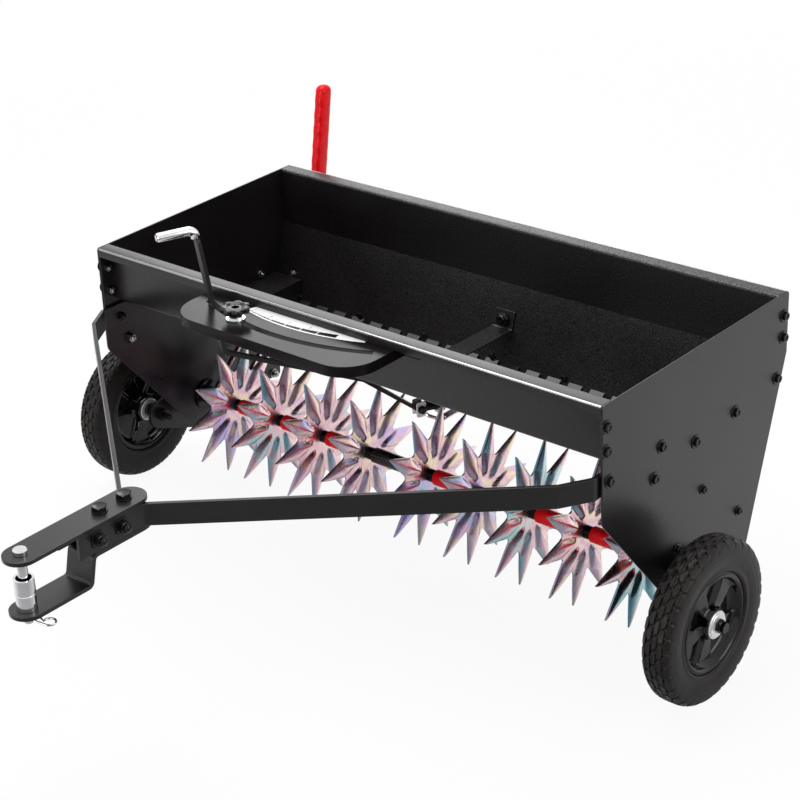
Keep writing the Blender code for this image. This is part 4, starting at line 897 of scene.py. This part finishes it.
def square_washer(place, axis, half, thick):
    """Square plate with small corners, under a nut."""
    def corner(angle):
        flat = half / max(abs(math.cos(angle)), abs(math.sin(angle)))
        return min(flat, half * 1.28)

    hardware.turned(place, axis, [(corner, 0.0), (corner, thick * 0.7),
                                  (lambda angle: corner(angle) - 0.0004, thick)], 32)


def link_hardware():
    """Pivot nut, and a bright clevis round the lever with its cross bolt."""
    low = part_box("lever_pivot_bolt")[0].z
    hardware.nut((PIVOT.x, PIVOT.y, low), DOWN, 0.0110, 0.0030, "bright_fitting", 0.0080,
                 0.0020)
    place = arc_place(0.030, LEVER_DEGREES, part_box("flow_lever")[0].z + 0.0025)
    for out in (lever_side(), -lever_side()):
        hardware.turned(place + out * 0.0056, out,
                        [(clevis_side(0.0), 0.0), (clevis_side(0.0), 0.0012),
                         (clevis_side(0.0005), 0.0016)], 32, 0.0, "bright_fitting",
                        "flow_lever")
        hardware.bolt(place + out * 0.0072, out, 0.0085, 0.0042, body="flow_lever",
                      ring=0.0056)


def clevis_side(inset):
    """Rounded square, taller than wide."""
    return lambda angle: min(0.0068 / max(0.01, abs(math.cos(angle))),
                             0.0110 / max(0.01, abs(math.sin(angle))), 0.0118) - inset


OUTLET_PITCH = 0.0334
OUTLET_MIDDLE = 0.0175
TOOTH_TOP = Vector((0.1338, -0.1770))      # (y, z) of a ledge's upper and lower end
TOOTH_FOOT = Vector((0.1255, -0.1830))
TOOTH_HALF = 0.0102
TOOTH_THICK = 0.0014
TOOTH_CORNER = 0.0016


def outlet_teeth():
    """Lit ledges between the outlets, low on the inside of the rear slope."""
    bm = bmesh.new()
    narrow = TOOTH_HALF - TOOTH_CORNER
    outline = [(-TOOTH_HALF, 0.0), (TOOTH_HALF, 0.0), (TOOTH_HALF, 0.76), (narrow, 1.0),
               (-narrow, 1.0), (-TOOTH_HALF, 0.76)]
    for k in range(-11, 11):
        x = OUTLET_MIDDLE + OUTLET_PITCH * (k + 0.5)
        loops = []
        for drop in (0.0, TOOTH_THICK):
            loop = []
            for across, share in outline:
                y, z = TOOTH_TOP.lerp(TOOTH_FOOT, share)
                loop.append(bm.verts.new(at(x + across, y, z - drop)))
            loops.append(loop)
        skin(bm, loops)
    finish_piece("outlet_ledges", bm, "coat", "frame", smooth=30.0)


def lip_folds():
    """Tight fold along the outer edge of each top lip, in bright metal that paints a
    highlight line on it.
    """
    bm = bmesh.new()
    for y in (-0.1873, 0.1873):
        path = [at(x, y, -0.0019) for x in (-INSIDE + 0.001, 0.0, INSIDE - 0.001)]
        swept(bm, path, [0.0016] * 3, 16)
    finish_piece("lip_folds", bm, "fold", "frame", smooth=60.0)


# Control tray

LABEL_BACK = 0.257         # pivot to the label's straight edge
LABEL_FRONT = 0.284        # pivot to its curved edge
LABEL_BAND = 0.2815        # pivot to the outer side of the open band
LABEL_ENDS = (-15.2, 22.3)
LABEL_BAND_END = 14.5
LABEL_TICKS = (-11.0, -6.0, -1.0, 4.0, 9.0)
LABEL_THICK = 0.00015
MARK_START = 1.4           # degrees from the label's left end
MARK_PITCH = 1.3
MARKS_PER_NUMBER = 5
MARK_GAP = 0.0006


def arc_place(radius, degrees, z):
    """A place at a radius from the lever's pivot, angle from straight ahead."""
    angle = math.radians(degrees)
    return Vector((PIVOT.x + radius * math.sin(angle),
                   PIVOT.y - radius * math.cos(angle), z))


def arc_strip(bm, inner, outer, start, end, z, thick=LABEL_THICK, steps=36):
    """Thin strip between two radii, each a number or a function of the angle."""
    sections = []
    for k in range(steps + 1):
        degrees = start + (end - start) * k / steps
        low, high = [r(degrees) if callable(r) else r for r in (inner, outer)]
        corners = ((low, z), (high, z), (high, z + thick), (low, z + thick))
        sections.append([bm.verts.new(arc_place(radius, degrees, level))
                         for radius, level in corners])
    skin(bm, sections)


def label_back(degrees):
    return LABEL_BACK / math.cos(math.radians(degrees))


def band_inner(degrees):
    """The open band is a hair line at its left end and widens to the right."""
    share = (degrees - LABEL_ENDS[0]) / (LABEL_BAND_END - LABEL_ENDS[0])
    width = 0.0006 + 0.0082 * max(0.0, share) ** 1.1
    return max(LABEL_BAND - width, label_back(degrees) + 0.00002)


def tray_label():
    """Plain setting scale: white field, open band with ticks, and small numbers."""
    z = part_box("control_panel")[1].z + 0.00005
    start, end = LABEL_ENDS
    bm = bmesh.new()
    arc_strip(bm, label_back, band_inner, start, LABEL_BAND_END, z)
    arc_strip(bm, LABEL_BAND, LABEL_FRONT, start, LABEL_BAND_END, z)
    arc_strip(bm, label_back, LABEL_FRONT, LABEL_BAND_END, end, z)
    for degrees in LABEL_TICKS:
        arc_strip(bm, band_inner, LABEL_BAND, degrees - 0.14, degrees + 0.14, z, steps=1)
    finish_piece("tray_scale", bm, "label", "frame")
    marks = bmesh.new()
    for k in range(21):
        degrees = start + MARK_START + MARK_PITCH * k
        length = 0.0016 if k % MARKS_PER_NUMBER else 0.0030
        foot = band_inner(degrees) - MARK_GAP
        if foot - length >= label_back(degrees) + MARK_GAP:
            arc_strip(marks, foot - length, foot, degrees - 0.045, degrees + 0.045,
                      z + LABEL_THICK, 0.00006, 1)
    finish_piece("tray_scale_marks", marks, "ink", "frame")
    for k in range(4):
        degrees = start + MARK_START + MARK_PITCH * MARKS_PER_NUMBER * k
        number(str(k + 1), degrees, band_inner(degrees) - 0.0058,
               z + LABEL_THICK + 0.00003)


def number(text, degrees, radius, z):
    """One small printed figure on the tray's scale."""
    data = configure(bpy.data.curves.new(f"scale_{text}", "FONT"), body=text, size=0.0050,
                     extrude=0.00003, align_x="CENTER", align_y="CENTER")
    item = add_object(f"scale_{text}_curve", data)
    bpy.context.view_layer.update()
    bm = bmesh.new()
    bm.from_mesh(bpy.data.meshes.new_from_object(item))
    bpy.data.objects.remove(item, do_unlink=True)
    place = arc_place(radius, degrees, z)
    bm.transform(Matrix.Translation(place) @ Matrix.Rotation(math.radians(degrees), 4, "Z"))
    finish_piece(f"tray_scale_{text}", bm, "ink", "frame")


KNOB_REACH = 0.0188
KNOB_LOBES = 7
KNOB_SCALLOP = 0.0034      # depth between two lobes


def stop_knob():
    """Lobed knob: neck, scalloped rim with soft edges, dished top, hex hollow."""
    centre, size = box_of("stop_knob")
    tall = size.z

    def lobed(inset):
        return lambda angle: (KNOB_REACH - inset) - KNOB_SCALLOP * (
            0.5 - 0.5 * math.cos(KNOB_LOBES * angle)) ** 1.5

    rings = [(0.0030, 0.0), (0.0086, 0.0), (0.0090, 0.0006)]
    rings += [(radius, tall * share) for radius, share in (
        (0.0090, 0.40), (lobed(0.0030), 0.42), (lobed(0.0008), 0.45), (lobed(0.0), 0.52),
        (lobed(0.0), 0.86), (lobed(0.0005), 0.95), (lobed(0.0016), 1.0), (0.0112, 1.0),
        (0.0104, 0.955), (0.0090, 0.90), (0.0066, 0.89), (hex_reach(0.0048), 0.89),
        (hex_reach(0.0046), 0.50), (0.0010, 0.48))]
    bm = bmesh.new()
    foot = centre - Vector((0, 0, tall / 2))
    turned(bm, foot, (0, 0, 1), rings, 168, 0.3)
    finish_piece("stop_knob_lobed", bm, "black_gloss", BODY_OF["stop_knob"],
                 ("stop_knob",), 38.0)


def swept(bm, path, radii, count=28):
    """Round bar along a path, with its own radius at each point."""
    loops = []
    upright = abs((path[1] - path[0]).normalized().z) > 0.9
    side = Vector((1, 0, 0)) if upright else Vector((0, 0, 1))
    for k, point in enumerate(path):
        before, after = path[max(0, k - 1)], path[min(len(path) - 1, k + 1)]
        along = (after - before).normalized()
        across = along.cross(side).normalized()
        other = across.cross(along)
        loops.append([bm.verts.new(point + radii[k] * (math.cos(a) * across
                                                       + math.sin(a) * other))
                      for a in (TAU * j / count for j in range(count))])
        side = other
    skin(bm, loops)


HANDLE_RADIUS = 0.0059
HANDLE_START = 0.3232      # from the lever's pivot
HANDLE_END = 0.3742
HANDLE_LEVEL = 0.0885      # above the hopper's rim


def handle_sleeve():
    """Bright round cover over the lever's handle, bent down at its inner end."""
    level = at(0, 0, HANDLE_LEVEL).z
    bend, crown = 0.010, 0.0030
    places = []
    for k in range(9):
        angle = math.pi / 2 * k / 8
        places.append((HANDLE_START + bend * (1 - math.cos(angle)),
                       level - bend * (1 - math.sin(angle))))
    places.append((HANDLE_END - crown, level))
    radii = [HANDLE_RADIUS] * len(places)
    for share in (0.35, 0.65, 0.88, 1.0):
        places.append((HANDLE_END - crown * (1 - share), level))
        radii.append(HANDLE_RADIUS * math.sqrt(1 - 0.72 * share ** 2))
    bm = bmesh.new()
    swept(bm, [arc_place(reach, LEVER_DEGREES, z) for reach, z in places], radii)
    finish_piece("lever_handle_cover", bm, "chrome", "flow_lever", smooth=40.0)


GRIP_LOW = (0.2525, -0.0374)    # (y, z) of the grip's lower end on the lever's middle
GRIP_TOP = (0.2742, 0.0945)
GRIP_HALF = 0.0090              # half thickness across the lever
GRIP_WIDE = 0.0112              # half depth from front to back
GRIP_WAVE = 0.0011              # height of a finger wave
GRIP_WAVES = 6
GRIP_CROWN = 0.925              # share of the length where the crown starts
GRIP_ROUNDING = 0.72            # 1 for an oval section, less for a squarer one


def transport_grip():
    """Moulded grip with finger waves on its front edge and a rounded crown."""
    centre = box_of("transport_grip")[0]
    start = at(centre.x, *GRIP_LOW)
    top = at(centre.x, *GRIP_TOP)
    along = (top - start).normalized()
    front = Vector((0, -along.z, along.y))
    length = (top - start).length
    steps, count = 96, 40
    bm = bmesh.new()
    loops = []
    for k in range(steps + 1):
        share = k / steps
        wave = GRIP_WAVE * (1 + math.cos(TAU * GRIP_WAVES * share)) / 2
        crown = max(0.0, (share - GRIP_CROWN) / (1 - GRIP_CROWN))
        shrink = math.sqrt(max(0.01, 1 - crown ** 2))
        foot = 1 - 0.10 * max(0.0, 1 - share * length / 0.0012)
        loop = []
        for j in range(count):
            angle = TAU * j / count
            c, s = [math.copysign(abs(v) ** GRIP_ROUNDING, v)
                    for v in (math.cos(angle), math.sin(angle))]
            wide = GRIP_WIDE + wave * (1.0 if c > 0 else 0.35) * abs(c)
            thick = GRIP_HALF * s * (0.15 + 0.85 * shrink) * foot
            loop.append(bm.verts.new(start + along * (length * share)
                                     + front * (wide * c * shrink * foot)
                                     + Vector((thick, 0, 0))))
        loops.append(loop)
    skin(bm, loops)
    finish_piece("transport_grip_waved", bm, "red", BODY_OF["transport_grip"],
                 ("transport_grip",), 50.0)


# Camera, light and floor

def camera_rig():
    data = configure(bpy.data.cameras.new("camera"), lens=CAMERA_LENS,
                     sensor_fit="HORIZONTAL", sensor_width=36.0, shift_x=CAMERA_SHIFT[0],
                     shift_y=CAMERA_SHIFT[1], clip_start=0.05, clip_end=60.0)
    item = add_object("camera", data)
    turn = Matrix((CAMERA_RIGHT, CAMERA_UP, CAMERA_BACK)).transposed().to_4x4()
    item.matrix_world = Matrix.Translation(CAMERA_PLACE) @ turn
    bpy.context.scene.camera = item


# (name, place, aim, size, power)
LAMPS = [("top", (-0.75, 0.25, 3.0), (0, 0.1, 0.3), (2.9, 2.0), 90.0),
         ("right", (2.9, 0.6, 1.3), (0, 0.1, 0.2), (1.8, 1.8), 34.0),
         ("back", (-2.0, 2.4, 1.75), (0, 0.2, 0.35), (1.4, 1.0), 12.0),
         ("front", (-0.5, -3.0, 0.42), (0, 0.0, 0.22), (2.6, 0.7), 27.0)]


def lamps():
    for name, place, aim, size, power in LAMPS:
        data = configure(bpy.data.lights.new(name, "AREA"), shape="RECTANGLE",
                         size=size[0], size_y=size[1], energy=power)
        item = add_object(name, data)
        item.location = place
        away = Vector(place) - Vector(aim)
        item.rotation_euler = away.to_track_quat("Z", "Y").to_euler()


def world():
    """Dim surroundings for the light, and plain white where they are seen or mirrored."""
    made = bpy.data.worlds.new("studio")
    bpy.context.scene.world = made
    graph = Graph(made)
    plain = graph.tree.nodes["Background"]
    plain.inputs["Color"].default_value = (0.96, 0.98, 1.0, 1.0)
    plain.inputs["Strength"].default_value = 0.22
    white = graph.add("ShaderNodeBackground", {"Color": (1.0, 1.0, 1.0, 1.0)})
    seen = graph.rays("Is Camera Ray", "Is Glossy Ray", "Is Transmission Ray")
    mixed = graph.shader_mix(seen, plain.outputs[0], white.outputs[0])
    graph.join(mixed, graph.tree.nodes["World Output"].inputs[0])


CAMERA_GLOW = 0.93         # share of plain white in the floor that the camera sees
GLOW_EDGE = (1.0, 3.0)     # distances over which that share rises to all of it
MIRROR_GLOW = 0.55         # the same in the floor that the metal reflects


def painted_mirror_falloff(graph):
    """Painted reflection: the floor's glow in mirrors is white behind the object and falls
    off in front of it, which paints shade into what the metal reflects.
    """
    parts = graph.add("ShaderNodeSeparateXYZ")
    graph.join(graph.coords(), parts.inputs[0])
    back = graph.maths("SUBTRACT", parts.outputs["Y"], parts.outputs["X"])
    return graph.spread(back, 0.05, 1.0, -0.85, -0.10)


def camera_share(graph):
    """The floor that the camera sees turns plain white away from the object."""
    reach = graph.add("ShaderNodeVectorMath", operation="LENGTH")
    graph.join(graph.coords(), reach.inputs[0])
    return graph.spread(reach.outputs["Value"], CAMERA_GLOW, 1.0, *GLOW_EDGE)


def floor_material():
    """White floor for the light, mixed with a glow for the camera and for mirrors."""
    graph = new_graph("floor_white")
    grain = graph.add("ShaderNodeTexNoise", {"Scale": 6.0})
    colour = graph.ramp(grain.outputs["Fac"], [(0.0, grey(0.86)), (1.0, grey(0.90))])
    made = graph.surface(colour, 0.9, specular=0.0)
    camera_glow = graph.add("ShaderNodeEmission", {"Strength": 1.0})
    mirror_glow = graph.add("ShaderNodeEmission")
    graph.join(painted_mirror_falloff(graph), mirror_glow.inputs["Strength"])
    mirrored = graph.maths("MULTIPLY", graph.rays("Is Glossy Ray", "Is Transmission Ray"),
                           MIRROR_GLOW)
    seen = graph.maths("MULTIPLY", graph.rays("Is Camera Ray"), camera_share(graph))
    shader = graph.tree.nodes["Principled BSDF"]
    lower = graph.shader_mix(mirrored, shader.outputs[0], mirror_glow.outputs[0])
    upper = graph.shader_mix(seen, lower, camera_glow.outputs[0])
    graph.join(upper, graph.tree.nodes["Material Output"].inputs[0])
    return made


def floor():
    bm = bmesh.new()
    bmesh.ops.create_grid(bm, x_segments=4, y_segments=4, size=14.0)
    mesh = bpy.data.meshes.new("floor")
    bm.to_mesh(mesh)
    bm.free()
    mesh.materials.append(floor_material())
    item = add_object("floor", mesh)
    item.location.z = -0.0005


NODE_FINISH = {"hopper_rear_panel": "coat_inside_painted_shade", "agitator_drive_cover": "coat_inside_painted_shade",
               "centre_tie_strap": "coat_inside_painted_shade", "control_panel": "coat_tray",
               "wheel_axle_left": "black_bolt", "wheel_axle_right": "black_bolt",
               "hairpin_clip": "spring_steel"}
SOFT_NODES = ["end_plate_left", "end_plate_right", "hopper_front_panel",
              "hopper_rear_panel", "centre_tie_strap", "agitator_drive_cover",
              "control_panel", "tongue_bar_left", "tongue_bar_right", "hitch_top_plate",
              "hitch_lower_plate", "wheel_crank_left", "wheel_crank_right",
              "transport_lever", "lever_pivot_bracket", "shutter_rail_upper",
              "shutter_rail_lower", "flow_lever"]


def dress_nodes():
    for name, item in nodes.items():
        finish = NODE_FINISH.get(name, FINISHES_OF_SLOT[SLOT_NAME[name]][0])
        for slot in item.material_slots:
            slot.material = MATERIALS[finish]
    for name in SOFT_NODES:
        softened(name, NODE_FINISH.get(name, "coat"))


def build():
    for step in (camera_rig, lamps, world, floor, dress_nodes, stars, spacers):
        step()
    for tag, side in (("left", -1), ("right", 1)):
        tyre(tag)
        rim(tag, side)
    for step in (plate_bolts, inside_nuts, slope_bolts, hitch_bolts, link_hardware,
                 lip_folds, outlet_teeth, tray_label, stop_knob, handle_sleeve,
                 transport_grip, hardware.finish):
        step()
    bpy.context.scene.view_settings.view_transform = "Standard"


build()
